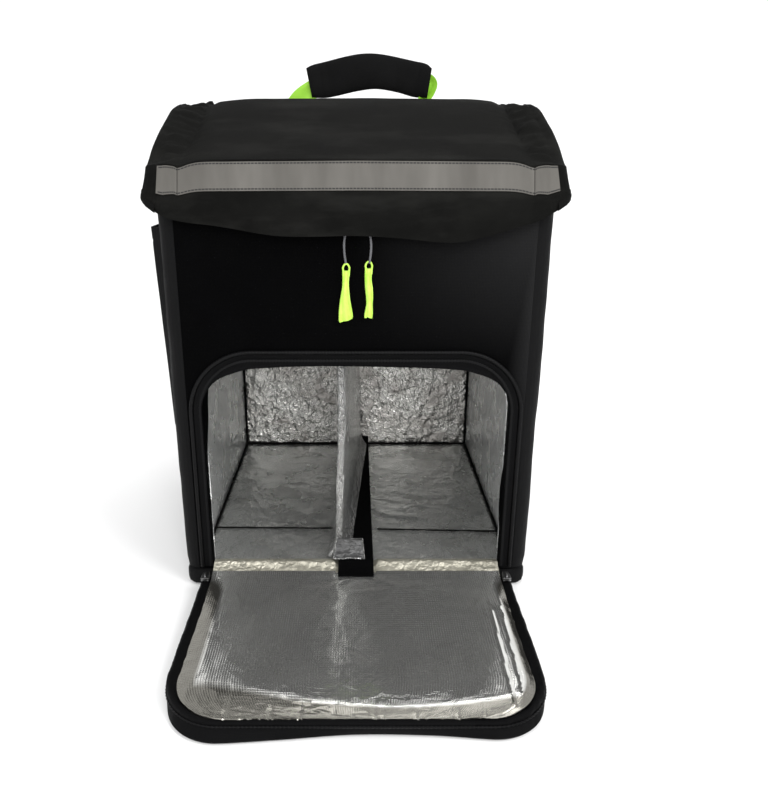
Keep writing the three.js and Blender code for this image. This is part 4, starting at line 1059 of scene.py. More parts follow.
def basePanel():
    deselectAll()
    bpy.ops.mesh.primitive_cube_add(size=1, location=(0, 0, baseShape["thick"] / 2 * mm))
    piece = named("base_pad")
    bpy.ops.transform.resize(value=(2 * baseShape["half"] * mm, 2 * baseShape["half"] * mm, baseShape["thick"] * mm))
    bpy.ops.object.transform_apply(location=True, rotation=True, scale=True)
    for vertical, width, segments in ((True, baseShape["corner"], 6), (False, baseShape["soft"], 4)):
        bpy.ops.object.mode_set(mode="EDIT")
        bpy.ops.mesh.select_mode(type="EDGE")
        bpy.ops.mesh.select_all(action="DESELECT")
        bpy.ops.object.mode_set(mode="OBJECT")
        for edge in piece.data.edges:
            a, b = (piece.data.vertices[k].co for k in edge.vertices)
            upright = abs(a.z - b.z) > 0.005
            flat = abs(a.z - b.z) < 0.0001 and (a.z < 0.001 or a.z > 0.019)
            edge.select = upright if vertical else flat
        bpy.ops.object.mode_set(mode="EDIT")
        bpy.ops.mesh.bevel(offset=width * mm, segments=segments, affect="EDGES")
    bpy.ops.mesh.select_mode(type="FACE")
    bpy.ops.object.mode_set(mode="OBJECT")
    evened(piece, 0.0041)
    for v in piece.data.vertices:
        x, y, z = v.co / mm
        side = blendIn(z, 3, 8) * (1 - blendIn(z, 14, 18))
        way = Vector((x if abs(x) > abs(y) else 0, y if abs(y) > abs(x) else 0, 0)).normalized()
        v.co += way * mm * side * (0.6 * ripple(x + y, z, 26, 3) - 0.3)
        v.co.z = max(0, v.co.z)
    return handIn(blockUv(piece), "wall_cloth", "base_panel")


basePanel()
print("walls and base made")

# The foil lining: five quilted panels that meet in dark bound seams.
foilBox = {"film": 1.3, "bubble": 1.5, "seam": 1.6, "crossSeam": -97}


def backFoil(u, w):
    x, z = mix(-bag["inside"], bag["inside"], u), mix(bag["floor"], bag["liningTop"], w)
    edge = min(min(u, 1 - u) * 320, w * 370)
    calm = blendIn(edge, 0, 14)
    bump = foilBox["bubble"] * facets(x, z * 0.5, 13, 2) + 0.5 * facets(x, z * 0.6, 7, 5) + 0.8 * crease(x,
            z * 0.3, 22, 6) + 1.2 * ripple(x, z, 55, 3)
    return x, bag["inside"] - 0.3 - calm * bump, z


def sideFoil(side):
    def lay(u, w):
        y, z = mix(-bag["inside"], bag["inside"], u), mix(bag["floor"], bag["liningTop"], w)
        calm = blendIn(min(min(u, 1 - u) * 320, w * 370), 0, 16)
        bump = 0.9 + 1.1 * ripple(y * 0.7, z, 48, 5 + side)
        if side > 0:  # the right wall has upright creases
            bump += 1.4 * crease(y * 1.3 + z * 0.35, z * 0.3, 34, 2) * blendIn(y, -40, 90) + 0.6 * facets(y,
                    z * 0.4, 16, 4)
        fold = 1.3 * hump(z - 46 - 14 * math.sin(y / 60), 2.2) * blendIn(y, -60, 40)
        return side * (bag["inside"] - calm * (bump * 0.8 + fold)), y, z
    return lay


def floorFoil(u, w):
    x, y = mix(-bag["inside"], bag["inside"], u), mix(-162.5, bag["inside"], w)
    calm = blendIn(min(min(u, 1 - u) * 320, (1 - w) * 320), 0,
                   12) * blendIn(abs(x - mix(-17, 3, (y + 175) / 350)), 14, 26) * blendIn(abs(x), 18, 24)
    wave = 0.5 + 0.5 * ripple(x, y, 75, 4) + 0.6 * crease(x * 0.3, y, 34,
                                                          3) * (0.2 + blendIn(x, 20, 80)) * blendIn(y, -60, 40)
    line = abs((x - 60) * 0.55 + (y + 70) * 0.85 + 8 * math.sin(x / 18))
    fold = 1.6 * hump(line, 3) * blendIn(x, 22, 34) * (1 - blendIn(x, 90, 120))
    return x, y, bag["floor"] + calm * (wave * blendIn(y, -160, -120) + fold)


def seamTube(name, a, b, size, material):
    a, b = Vector(a), Vector(b)
    along = (b - a).normalized()
    up = Vector((0, 0, 1)) if abs(along.z) < 0.9 else Vector((0, 1, 0))
    over = along.cross(up).normalized()
    up = over.cross(along)
    steps = max(2, int((b - a).length / 4))

    def place(u, out, high):
        s = size * (1 + 0.25 * ripple(u * steps, 0, 3, 2))
        return a.lerp(b, u) + over * out * s + up * high * s
    return numbered(swept(name, steps, flatOval(2, 2, 6), place, (b - a).length), material)


def foilLining():
    i, low, top, film = bag["inside"], bag["floor"], bag["liningTop"], foilBox["film"]
    parts = [
        numbered(sheetOf("foil_rear", 112, 122, backFoil, (321, 372), (0, -1, 0), film), 0),
        numbered(sheetOf("foil_left", 62, 70, sideFoil(-1), (321, 372), (1, 0, 0), film), 1),
        numbered(sheetOf("foil_right", 78, 80, sideFoil(1), (321, 372), (-1, 0, 0), film), 1),
        numbered(sheetOf("foil_floor", 96, 96, floorFoil, (321, 321), (0, 0, 1), film), 2),
    ]
    inner = facing(archedPanel("foil_front", -i, i, low, top, 10.4, 100, 16, lambda x, z,
                               w: -0.5 * ripple(x, z, 30, 3) * blendIn(w, 0.1, 0.3)), (0, 1, 0))
    parts.append(numbered(thicken(inner, film), 1))
    s = foilBox["seam"]
    for k, (a, b) in enumerate((
            ((-i + 2.2, i - 2.4, low), (-i + 2.2, i - 2.4, top)), ((i - 2.2, i - 2.4, low), (i - 2.2, i - 2.4, top)),
            ((-i + 1, i - 2.4, low + 2), (i - 1, i - 2.4, low + 2)),
            ((-i + 2.2, i, low + 2), (-i + 2.2, -158, low + 2)), ((i - 2.2, i, low + 2), (i - 2.2, -158, low + 2)),
            ((-i + 1, -95, low + 1.6), (-24, foilBox["crossSeam"], low + 1.6)),
            ((24, foilBox["crossSeam"] - 2, low + 1.6), (i - 1, -104, low + 1.6)))):
        parts.append(seamTube("bound_seam_%d" % k, a, b, s if k < 5 else 0.9, 3))
    piece = joined("foil_box", *parts)
    return handIn(piece, "foil", "foil_lining", look="foil_back", angle=35,
                  more=("foil_side", "foil_floor", "binding"))


foilLining()
print("foil lining made")

# The divider: a board in foil, with a bright crinkled front edge and a flared foot.
board = {"from": -160.1, "to": 155, "foot": 24.5, "high": 355.5, "thick": 8, "footWide": 24, "footHigh": 20,
         "front": -17, "rear": 3, "wave": 2}


def dividerX(y):
    return mix(board["front"], board["rear"], (y - bag["front"]) / (bag["back"] - bag["front"]))


def dividerBoard():
    def outline(y, h, side):
        foot = (board["footWide"] - board["thick"]) * max(0, 1 - h / board["footHigh"]) ** 2
        bow = board["wave"] * math.sin(h / 356 * math.pi * 2 + y / 350 * math.pi)
        edge = blendIn(y, board["from"], board["from"] + 3)
        half = (board["thick"] + foot) / 2 * (0.72 + 0.28 * edge)
        film = 0.55 * ripple(y, h, 26, 6 + side) + 0.5 * crease(y * 1.4, h * 0.5, 30, 2 + side) * (1
                - blendIn(y, -110, 0)) - 0.4
        return dividerX(y) + bow + side * half + side * film * 0.8, film

    def face(side):
        def lay(u, w):
            y, h = mix(board["from"], board["to"], u ** 1.5), mix(0, board["high"], w ** 1.3)
            return outline(y, h, side)[0], y, board["foot"] + h
        return lay
    left = clothGrid("divider_left", 70, 110, face(-1), (316, 356))
    right = clothGrid("divider_right", 70, 110, face(1), (316, 356))

    def frontEdge(u, w):
        h = mix(0, board["high"], w ** 1.3)
        a, b = outline(board["from"], h, -1)[0], outline(board["from"], h, 1)[0]
        bulge = math.sin(u * math.pi)
        crinkle = (1.0 * facets(u * 12, h, 5, 3) + 0.8 * ripple(u * 9, h, 4, 2)) * bulge
        return mix(a, b, u), board["from"] - 0.3 * bulge + crinkle * 1.1, board["foot"] + h

    def capEdge(u, w):
        y = mix(board["from"], board["to"], u ** 1.5)
        return mix(outline(y, board["high"], -1)[0], outline(y, board["high"], 1)[0],
                   w), y, board["foot"] + board["high"] + 0.5 * math.sin(w * math.pi)
    edge = clothGrid("divider_edge", 8, 110, frontEdge, (12, 356))
    cap = clothGrid("divider_cap", 70, 4, capEdge, (316, 8))
    piece = welded(joined("divider_board", left, right, numbered(edge, 1), cap), close=True)

    def tabAt(u, w):  # the loose tab at the foot, which spreads towards the door
        x = mix(mix(-20, -23.5, w), mix(7, 9.5, w), u)
        bent = 0.8 * ripple(x, w * 26, 8, 3) + 0.5 * facets(x, w * 26, 7, 5) + 1.2 * math.sin(u * math.pi) * (1 - w)
        return x, mix(-160.9, -173.5, w * w) - bent * 0.6, mix(47, 30.5, w) + 0.9 * ripple(x, 4, 9, 6) * w
    tab = sheetOf("divider_tab", 26, 24, tabAt, (26, 26), (0, -1, 0), 0.9)
    rims = []
    for k, path in enumerate((lambda t: tabAt(0.02, t), lambda t: tabAt(t, 0.98), lambda t: tabAt(0.98, 1 - t))):
        def place(t, out, up, path=path):
            p, q = Vector(path(max(0, t - 0.02))), Vector(path(min(1, t + 0.02)))
            along = (q - p).normalized()
            return (p + q) / 2 + along.cross(Vector((0, 1, 0))) * out + Vector((0, up - 0.3, 0))
        rims.append(swept("divider_tab_rim_%d" % k, 24, flatOval(1.5, 1.3, 6), place, 26))
    piece = joined("divider_board", piece, numbered(tab, 2), *(numbered(rim, 1) for rim in rims))
    return handIn(piece, "foil", "divider", look="foil_divider", angle=50, more=("foil_edge", "foil_tab"))


dividerBoard()

# The hook-and-loop strip lies along the floor and over the hinge.
stripShape = {
    "half": 18, "thick": 1.4,
    "route": [(-195, 23.6), (-189, 24), (-182, 25), (-176, 27.8), (-171.5, 28.6), (-167, 26.8), (-161.6, 23.4),
              (-150, 23.3), (155, 23.3), (157.5, 24.4), (158.2, 27), (158.2, 35.2)],
}


def floorStrip():
    route = stripShape["route"]
    lengths = [0]
    for a, b in zip(route, route[1:]):
        lengths.append(lengths[-1] + math.dist(a, b))
    ys = [(s, p[0]) for s, p in zip(lengths, route)]
    zs = [(s, p[1]) for s, p in zip(lengths, route)]
    total = lengths[-1]

    def lay(u, w):
        s = total * u
        y, z = straight(ys, s), straight(zs, s)
        x = stripShape["half"] * (2 * w - 1)
        return x, y, z + stripShape["thick"] / 2 + 0.15 * ripple(x, y, 20, 4)
    piece = sheetOf("floor_strip_pile", 150, 10, lay, (total, 36), (0, 0, 1), stripShape["thick"])
    return handIn(piece, "hook_and_loop", "floor_strip")


floorStrip()

# The crinkled foil strip between the floor and the door.
hingeShape = {
    "half": 146, "thick": 1.6, "from": -163, "to": -188,
    "height": [(0, 24.2), (0.14, 25), (0.28, 26), (0.36, 25.8), (0.5, 23.5), (0.7, 21), (0.85, 20), (1, 19.4)],
}


def hingeStrip():
    def lay(u, w):
        x, y = mix(-hingeShape["half"], hingeShape["half"], u), mix(hingeShape["from"], hingeShape["to"], w)
        low = smooth(hingeShape["height"], w)
        free = blendIn(abs(x), 19, 24) * math.sin(w * math.pi)
        long_ = ripple(x * 0.16, y, 3.4, 5) + 0.6 * ripple(x * 0.3, y, 2, 8)
        film = 0.5 * facets(x * 0.4, y, 6, 3) + 0.3 * facets(x, y * 2, 4.5, 6) + 1.2 * long_
        return x, y, low + free * film - 3 * (1 - blendIn(abs(x), 18, 24)) * blendIn(low, 20, 26)
    piece = sheetOf("hinge_strip_film", 240, 22, lay, (292, 31), (0, 0, 1), hingeShape["thick"])
    return handIn(piece, "foil", "door_hinge", look="foil_hinge", angle=30)


hingeStrip()
print("divider, strip and hinge made")

# The door, laid forward on the ground: a padded panel, its foil and its zip tape.
doorShape = {
    "hinge": -186, "half": 150.2, "reach": 194.2, "corner": 45.2, "start": 4.3, "thick": 16, "droop": 0.12,
    "rim": 22, "lip": 4.5,
    "foot": [(-145, 8), (-105, 8), (-60, 4.5), (0, -1), (60, 0), (105, 4), (140, 5.5)],
}


def doorPlace(x, along, up):
    far = blendIn(along, 149, 199)
    return x, doorShape["hinge"] - along, up * (1 - doorShape["droop"] * far)


def doorSpot(u, w, inset, start):  # a spot on the door's outline filled in, drawn in by inset
    half, length, radius = doorShape["half"] - inset, doorShape["reach"] - inset, doorShape["corner"] - inset
    along = mix(start, length, w)
    past = min(radius, max(0, along - length + radius))
    reach = half - radius + math.sqrt(max(0, radius * radius - past * past))
    return (2 * u - 1) * reach, along, reach


def doorPanel():
    def lay(u, w):
        x, along, reach = doorSpot(u, math.sin(w * math.pi / 2), 0.3, 0)
        return doorPlace(x, along, doorShape["thick"])
    piece = sheetOf("door_pad", 60, 60, lay, (310, 199), (0, 0, 1), doorShape["thick"] - 0.2)
    for v in piece.data.vertices:
        v.co.z = max(0.0002, v.co.z)
    bevelled(piece, 3, 3, 50)
    return handIn(piece, "door_cloth", "door_panel", look="wall_cloth")


doorPanel()


foilDoor = {
    "half": 145, "length": 196.4, "corner": 42, "near": -1, "high": 21.7, "farEdge": 17, "sideEdge": 18.4,
    "left": 17, "right": 9,
    "far": [(-120, 40), (-88, 31), (-48, 20), (-21, 15), (29, 9), (72, 12), (108, 17), (135, 22)],
    "pleats": (-101, -66, -43, -17, 14, 21, 46, 78, 99),
}


def doorFoil():
    shape, rolls = foilDoor, []
    half, length, radius = shape["half"], shape["length"], shape["corner"]

    def lay(u, w):
        along = mix(shape["near"], length, math.sin(w * math.pi / 2))
        past = min(radius, max(0, along - length + radius))
        reach = half - radius + math.sqrt(max(0, radius * radius - past * past))
        x = (2 * u - 1) * (reach + 0.8 * ripple(along, 0, 26, 4 + (u > 0.5)))
        beside, before = max(0, reach - abs(x)), length - along
        wide = smooth(shape["far"], x)
        far = max(0, 1 - before / wide)
        ahead = max(0, 1 - max(0, before - wide) / 26) ** 2 if before > wide else 1
        side = max(0, 1 - beside / (shape["left"] if x < 0 else shape["right"])) * blendIn(along, 4, 44)
        drop = max((shape["high"] - shape["farEdge"] - 0.4) * far ** 1.1 + 0.4 * ahead,
                   (shape["high"] - shape["sideEdge"]) * side ** 1.25)
        lean = 3.2 * blendIn(x, 70, 132) * blendIn(along, 24, 70)
        flat = blendIn(along, 2, 14)
        inside = blendIn(min(beside, before), 0, 14)
        wave = 0.35 * math.sin(x / 23 + along / 31) + 0.55 * ripple(x, along, 70, 3) + 0.25 * ripple(x, along, 26, 8)
        pleat = sum(-0.55 * hump(x - at - 0.03 * before, 1.2) for at in shape["pleats"]) * far
        pleat += 0.4 * crease(along, x * 0.25, 19, 8) * side + 0.3 * facets(x, along, 9, 2) * max(far, side)
        near = (1 - blendIn(along, 4, 52)) * (0.12 + hump(x + 8, 40))
        wrinkle = 1.7 * crease(x * 0.6 + along * 0.5, along * 1.4, 24, 7) * near
        lines = sum(hump(x - at + (along - 120) * 0.03 + 1.1 * ripple(along, 0, 14, at), 0.9)
                    for at in (124, 133)) * blendIn(along, 34, 80) * blendIn(beside, 3, 8)
        rolls.append(max(far, side))
        z = shape["high"] - drop + lean * blendIn(beside, 0, 9) + (wave * inside + wrinkle) * flat + pleat + lines
        z = mix(mix(23.2, 22.6, blendIn(along, -1, 4)), z, flat)
        if abs(x) < 20:
            z = min(z, mix(21, 21.6, blendIn(along, -6, 3)) + 3 * blendIn(along, 9, 20))
        return x, doorShape["hinge"] - along, z
    piece = clothGrid("door_film", 204, 150, lay, (290, 205))
    piece.data.attributes.new("roll", "FLOAT", "POINT").data.foreach_set("value", rolls)
    facing(piece, (0, 0, 1))
    thicken(piece, 1, -1)
    return handIn(piece, "foil", "door_lining", look="foil_door", angle=35)


doorFoil()


def doorEdge(share):
    return threeSides(share, doorShape["half"], doorShape["reach"], doorShape["corner"], doorShape["start"])


def doorRim():
    lip, rim = doorShape["lip"], doorShape["rim"]
    outline = [(0.3, 2), (lip - 1.4, 2), (lip - 0.3, 4), (lip, 9), (lip - 0.2, 12), (lip + 0.1, 13),
               (lip - 0.3, 14), (lip, 18),
               (lip - 0.8, 20.6), (lip - 2, rim - 0.4), (1.5, rim), (0, rim - 0.6), (-2.5, 20.4), (-5.5, 19),
               (-5.5, 17), (0.3, 16.4)]

    def place(u, out, up):
        x, along, nx, ny = doorEdge(u)
        narrow = mix(1, 0.25, max(0, ny)) if out < 0 else 1
        up -= 3.6 * max(0, ny) * blendIn(up, 12, 20)
        bunch = hump(u - 0.7, 0.055)
        high = blendIn(up, 15, 21)
        wave = (0.5 + 1.1 * bunch) * ripple(u * 700, 0, 13, 3) * high + (0.3 + 0.8 * bunch) * ripple(u * 700,
                up, 5, 5) * blendIn(up, 5, 16)
        wave -= 0.9 * bunch * crease(u * 700, up * 0.4, 9, 2) * blendIn(up, 4, 12)
        sag = (0.7 + 0.8 * bunch) * ripple(u * 700, 9, 40, 8) * blendIn(up, 12, 20)
        foot = smooth(doorShape["foot"], x) * blendIn(ny, 0.1, 0.7) * (1 - blendIn(up, 2, 14))
        return doorPlace(x + nx * (out * narrow + wave), along + ny * (out * narrow + wave) + foot, up + sag)
    tape = swept("door_rim_tape", 420, outline, place, 640)

    def coilPlace(u, out, up):
        x, along, nx, ny = doorEdge(u)
        return doorPlace(x + nx * (lip + 0.1 + out), along + ny * (lip + 0.1 + out), 12.6 + up)
    coil = coilOf("door_rim_coil", 800, flatOval(1.6, 2.4, 5), 0.35, 1.6, 640, coilPlace)
    return handIn(joined("door_rim", tape, coil), "zip_tape", "door_zip_tape", angle=50, more=("piping",))


doorRim()
print("door made")

# Round the opening: woven zip tape with its coil, and glossy ribbed piping.
openingShape = {"hang": [(-147, 13), (-118, 17.5), (-60, 15), (-20, 14.5), (20, 15), (70, 16.5), (118, 18.5),
                         (147, 14)], "tapeIn": 10, "rib": 3.1, "length": 720}


def archEdge(share):
    return threeSides(share, walls["archHalf"], walls["archTop"], walls["archRadius"], walls["sill"])


def archSpot(u, out, up):
    x, z, nx, nz = archEdge(u)
    return x + nx * out, bag["front"] - up, z + nz * out


def openingTape():
    length = openingShape["length"]
    outline = [(-1, 0.4), (-0.24, 0.4), (-0.24, 1.9), (-0.42, 1.7), (-0.5, 1.3), (-0.8, 1.2), (-0.96, 1.4)]

    def place(u, out, up):
        x, z, nx, nz = archEdge(u)
        deep = openingShape["tapeIn"] + (smooth(openingShape["hang"], x) - 10) * blendIn(nz, 0.1, 0.9)
        into = out * deep if out < -0.7 else out * 10
        back = blendIn(-into, 10, 13) * 2.5
        return archSpot(u, into, up - back + 0.3 * ripple(u * length, into, 14, 2))
    tape = swept("opening_tape_band", 260, outline, place, length)

    def coilPlace(u, out, up):
        return archSpot(u, -8.4 + out, 1.5 + up * 0.5)
    coil = coilOf("opening_coil", 960, flatOval(2.6, 1.2, 5), 0.4, 1.5, length, coilPlace)
    return handIn(joined("opening_tape", tape, coil), "zip_tape", "opening_zip_tape", angle=50, more=("piping",))


def openingPipe():
    length = openingShape["length"]

    def place(u, out, up):
        rib = 1 + 0.09 * math.cos(u * length / openingShape["rib"] * 2 * math.pi)
        return archSpot(u, out * rib, 2.3 + up * rib)
    return handIn(swept("opening_pipe", 900, flatOval(4, 4, 9), place, length), "piping", "opening_piping", angle=60)


openingTape()
openingPipe()
print("opening trimmed")

# The handle: a lime webbing arch through a padded wrap.
handleShape = {
    "y": 176.8,
    "route": [(-86, 446, 12.5), (-84, 469, 12.5), (-75, 487, 12.5), (-60, 501, 11), (-20, 519, 12),
              (14, 525, 12), (50, 521, 12), (78, 513, 11),
              (90, 514, 9), (96.5, 509.5, 7.2), (93.5, 500, 6.8), (86.5, 490, 7.4), (91, 474, 10),
              (103, 459, 12.5), (105, 446, 12.5)],
}


def handlePoint(share):
    row = catmull(handleShape["route"], share)
    return Vector((row.x, handleShape["y"], row.y)), row.z


def handleFrame(share):
    a, b = handlePoint(max(0, share - 0.004))[0], handlePoint(min(1, share + 0.004))[0]
    point, half = handlePoint(share)
    return point, (b - a).normalized().cross(Vector((0, 1, 0))).normalized(), half


def handleWebbing():
    def place(u, out, up):
        point, over, half = handleFrame(u)
        folded = blendIn(12 - half, 0, 5)
        return point + over * out * half + Vector((0, up + 0.5 * math.sin(out * 3 + u * 9) + folded * 2.2
                                                   * math.cos(out * 2.6), 0))
    outline = [(-1, -1), (-0.92, -1.5), (-0.5, -1.5), (0, -1.5), (0.5, -1.5), (0.92, -1.5), (1, -1), (1, 1),
               (0.92, 1.5), (0.5, 1.5), (0, 1.5), (-0.5, 1.5), (-0.92, 1.5), (-1, 1)]
    return handIn(swept("handle_web", 160, outline, place, 300), "lime_webbing", "handle_webbing")


handleWebbing()


gripShape = {
    "top": [(-63, 528.5), (-57, 531.5), (-49, 533.8), (15, 545.6), (80, 535.6), (90, 533), (96, 528.5)],
    "low": [(-63, 493.5), (-40, 494), (0, 501.5), (26, 504), (55, 500), (78, 494.5), (96, 493.5)],
    "leanLeft": 7, "leanRight": 5, "thick": 14, "crush": [(0.1, 1.3, 0.012), (0.16, 1.1, 0.014), (0.9, 1.2, 0.012)],
}


def handleGrip():
    left, right = gripShape["top"][0][0], gripShape["top"][-1][0]

    def lay(u, w):
        turn = 2 * math.pi * w
        across, high = math.cos(turn), math.sin(turn)
        x = mix(left, right, u)
        top, low = smooth(gripShape["top"], x), smooth(gripShape["low"], x)
        h = 0.5 + 0.5 * math.copysign(abs(high) ** 0.62, high)
        z = mix(low, top, h)
        x += gripShape["leanLeft"] * (1 - h) * (1 - u) - gripShape["leanRight"] * (1 - h) * u
        end = 1 - 0.28 * (1 - blendIn(min(u, 1 - u), 0, 0.03))
        crush = -sum(deep * hump(u - at, wide) for at, deep, wide in gripShape["crush"])
        fold = 0.9 * ripple(x, z, 17, 3) + crush * (0.4 + 0.6 * h)
        y = math.copysign(abs(across) ** 0.7, across) * (gripShape["thick"] / 2 * end + fold * 0.7)
        return x, handleShape["y"] + y, z
    piece = clothGrid("grip_wrap", 110, 40, lay, (159, 96))
    welded(piece, close=True)
    return handIn(piece, "grip_cloth", "handle_grip", angle=50)


handleGrip()
print("handle made")

# The flat pocket on the viewer's left, open at the top.
pocketShape = {"from": -152, "to": 56, "low": 164, "top": 361, "stand": 10, "heel": 2.5, "cloth": 1.5}


def sidePocket():
    p = pocketShape

    def lay(u, w):
        y, z = mix(p["from"], p["to"], u), mix(p["low"], p["top"], w)
        edge = min(u * 208, (1 - u) * 208, w * 197)
        stand = mix(p["heel"], p["stand"], w) * blendIn(edge, 0, 6)
        soft = (0.7 * ripple(y, z, 40, 3) + 0.5 * ripple(y, z * 0.4, 14, 6) * w) * blendIn(edge, 2, 12)
        hem = 0.5 * (hump(z - p["top"] + 12, 1.4))
        return -bag["half"] - sideOut(y, z) - 0.3 - max(0, stand + soft * 0.8 - hem) - p["cloth"], y, z
    piece = sheetOf("pocket_cloth", 90, 80, lay, (208, 197), (-1, 0, 0), p["cloth"])
    return handIn(piece, "wall_cloth", "side_pocket")


sidePocket()
print("pocket made")

# Padded cloth is pressed outwards by a cloth simulation and held near its drawn shape.
pressing = {"quality": 5, "mass": 0.2, "bending_stiffness": 0.4, "tension_stiffness": 12, "compression_stiffness": 12,
            "shear_stiffness": 4, "frames": 20}


def puffed(piece, voxel, holds, cap, pressure=4.0):
    evened(piece, voxel * mm)
    drawn = [v.co.copy() for v in piece.data.vertices]
    held = piece.vertex_groups.new(name="held")
    for v in piece.data.vertices:
        if holds(v.co / mm):
            held.add([v.index], 1.0, "REPLACE")
    cloth = piece.modifiers.new("cloth", "CLOTH")
    settings = cloth.settings
    for key in ("quality", "mass", "bending_stiffness", "tension_stiffness", "compression_stiffness",
                "shear_stiffness"):
        setattr(settings, key, pressing[key])
    settings.use_pressure, settings.uniform_pressure_force = True, pressure
    settings.effector_weights.gravity = 0
    settings.vertex_group_mass = "held"
    cloth.point_cache.frame_start, cloth.point_cache.frame_end = 1, pressing["frames"]
    for number in range(1, pressing["frames"] + 1):
        bpy.context.scene.frame_set(number)
    applyModifiers(piece)
    bpy.context.scene.frame_set(1)
    for v, start in zip(piece.data.vertices, drawn):
        move = v.co - start
        if move.length > cap * mm:
            v.co = start + move.normalized() * cap * mm
    piece.vertex_groups.clear()
    return blockUv(modified(piece, "SUBSURF", levels=1, render_levels=1))


def pillow(name, columns, rows, front, back):  # two sheets that meet along their edges
    faces = [facing(clothGrid(name + "_face", columns, rows, front), (0, 1, 0)),
             facing(clothGrid(name + "_rear", columns, rows, back), (0, -1, 0))]
    return welded(joined(name, *faces), close=True)


# The pad on the wearer's side: air mesh over foam, quilted into six cushions, with a bound edge.
padShape = {"half": 113, "low": 64, "top": 428, "thick": 11.5, "corner": 24, "channel": 9,
            "lines": (150, 250, 348), "wall": 175.3}


def backPad():
    p = padShape
    middle, tall = (p["low"] + p["top"]) / 2, (p["top"] - p["low"]) / 2

    def spot(u, w):
        z = (2 * w - 1) * tall
        past = max(0, abs(z) - tall + p["corner"])
        reach = p["half"] - p["corner"] + math.sqrt(max(0, p["corner"] ** 2 - past ** 2))
        return (2 * u - 1) * reach, z, min(reach * (1 - abs(2 * u - 1)), tall - abs(z))

    def face(u, w):
        x, z, edge = spot(u, w)
        dip = max(hump(abs(x) - p["channel"], 3.4),
                  *(hump(z + middle - line, 3.6) * blendIn(abs(x), 8, 12) for line in p["lines"]))
        high = p["thick"] * math.sqrt(max(0, 1 - (1 - min(1, edge / 14)) ** 2)) * (1 - 0.55 * dip)
        return x, p["wall"] + high, z + middle

    def rear(u, w):
        x, z, _ = spot(u, w)
        return x, p["wall"], z + middle

    def holds(at):
        sewn = abs(abs(at.x) - p["channel"]) < 3.2 or (abs(at.x) > p["channel"] and min(abs(at.z - line)
                for line in p["lines"]) < 3.2)
        return sewn or at.y < p["wall"] + 3.5
    cushion = puffed(pillow("pad_cushion", 76, 120, face, rear), 4.5, holds, 5, 3.0)

    def trimPlace(u, out, up):
        x, z, nx, nz = roundTrip(u, p["half"], tall, p["corner"])
        return x + nx * out, p["wall"] + 3.2 + up, z + middle + nz * out
    edge = swept("pad_binding", 300, flatOval(3.6, 6.2, 10), trimPlace, 1150)
    return handIn(joined("back_cushion", cushion, numbered(edge, 1)), "back_mesh", "back_pad", angle=60,
                  more=("strap_webbing",))


def roundTrip(share, half, tall, radius):  # once round a rectangle with round corners, from the middle of its top
    s = share * (4 * (half + tall) - 8 * radius + 2 * math.pi * radius)
    flat, upright, arc = half - radius, 2 * (tall - radius), math.pi / 2 * radius
    for length, kind, at in ((flat, 0, 0), (arc, 1, 0), (upright, 2, 0), (arc, 1, 1), (2 * flat, 3, 0),
                             (arc, 1, 2), (upright, 4, 0), (arc, 1, 3), (flat, 5, 0)):
        if s <= length or kind == 5:
            break
        s -= length
    if kind == 0:
        return s, tall, 0, 1
    if kind == 2:
        return half, tall - radius - s, 1, 0
    if kind == 3:
        return flat - s, -tall, 0, -1
    if kind == 4:
        return -half, radius - tall + s, -1, 0
    if kind == 5:
        return s - flat, tall, 0, 1
    turn = math.pi / 2 - s / radius - at * math.pi / 2
    cx, cz = ((flat, 1), (flat, -1), (-flat, -1), (-flat, 1))[at]
    return cx + radius * math.cos(turn), cz * (tall
                                               - radius) + radius * math.sin(turn), math.cos(turn), math.sin(turn)


backPad()
print("back pad made")

# The shoulder straps, bowed away from the pad, with ladder locks, webbing and sewn anchors at their feet.
strapShape = {
    "x": 70, "spread": 32, "top": 418, "low": 152, "reach": 62, "width": 62, "thick": 10, "face": 187.6,
    "rows": [(0, 0, 0, 1), (0.1, 0.12, 0, 1), (0.3, 0.7, 0.1, 1), (0.5, 1, 0.35, 0.97), (0.7, 0.92, 0.7, 0.92),
             (0.87, 0.62, 0.92, 0.85), (1, 0.34, 1, 0.7)],
}


def strapSpot(side, share):
    p = strapShape
    line = [(side * (p["x"] + aside * p["spread"]), p["face"] + p["thick"] / 2 + out * p["reach"],
             mix(p["top"], p["low"], down)) for down, out, aside, _ in p["rows"]]
    wide = smooth([(down, width) for down, _, _, width in p["rows"]], share)
    along = headingOn(line, share, 0.004)
    across = along.cross(Vector((0, 1, 0))).normalized() * side
    over = across.cross(along) * side
    return catmull(line, share), along, across, -over if over.y < 0 else over, p["width"] * wide / 2


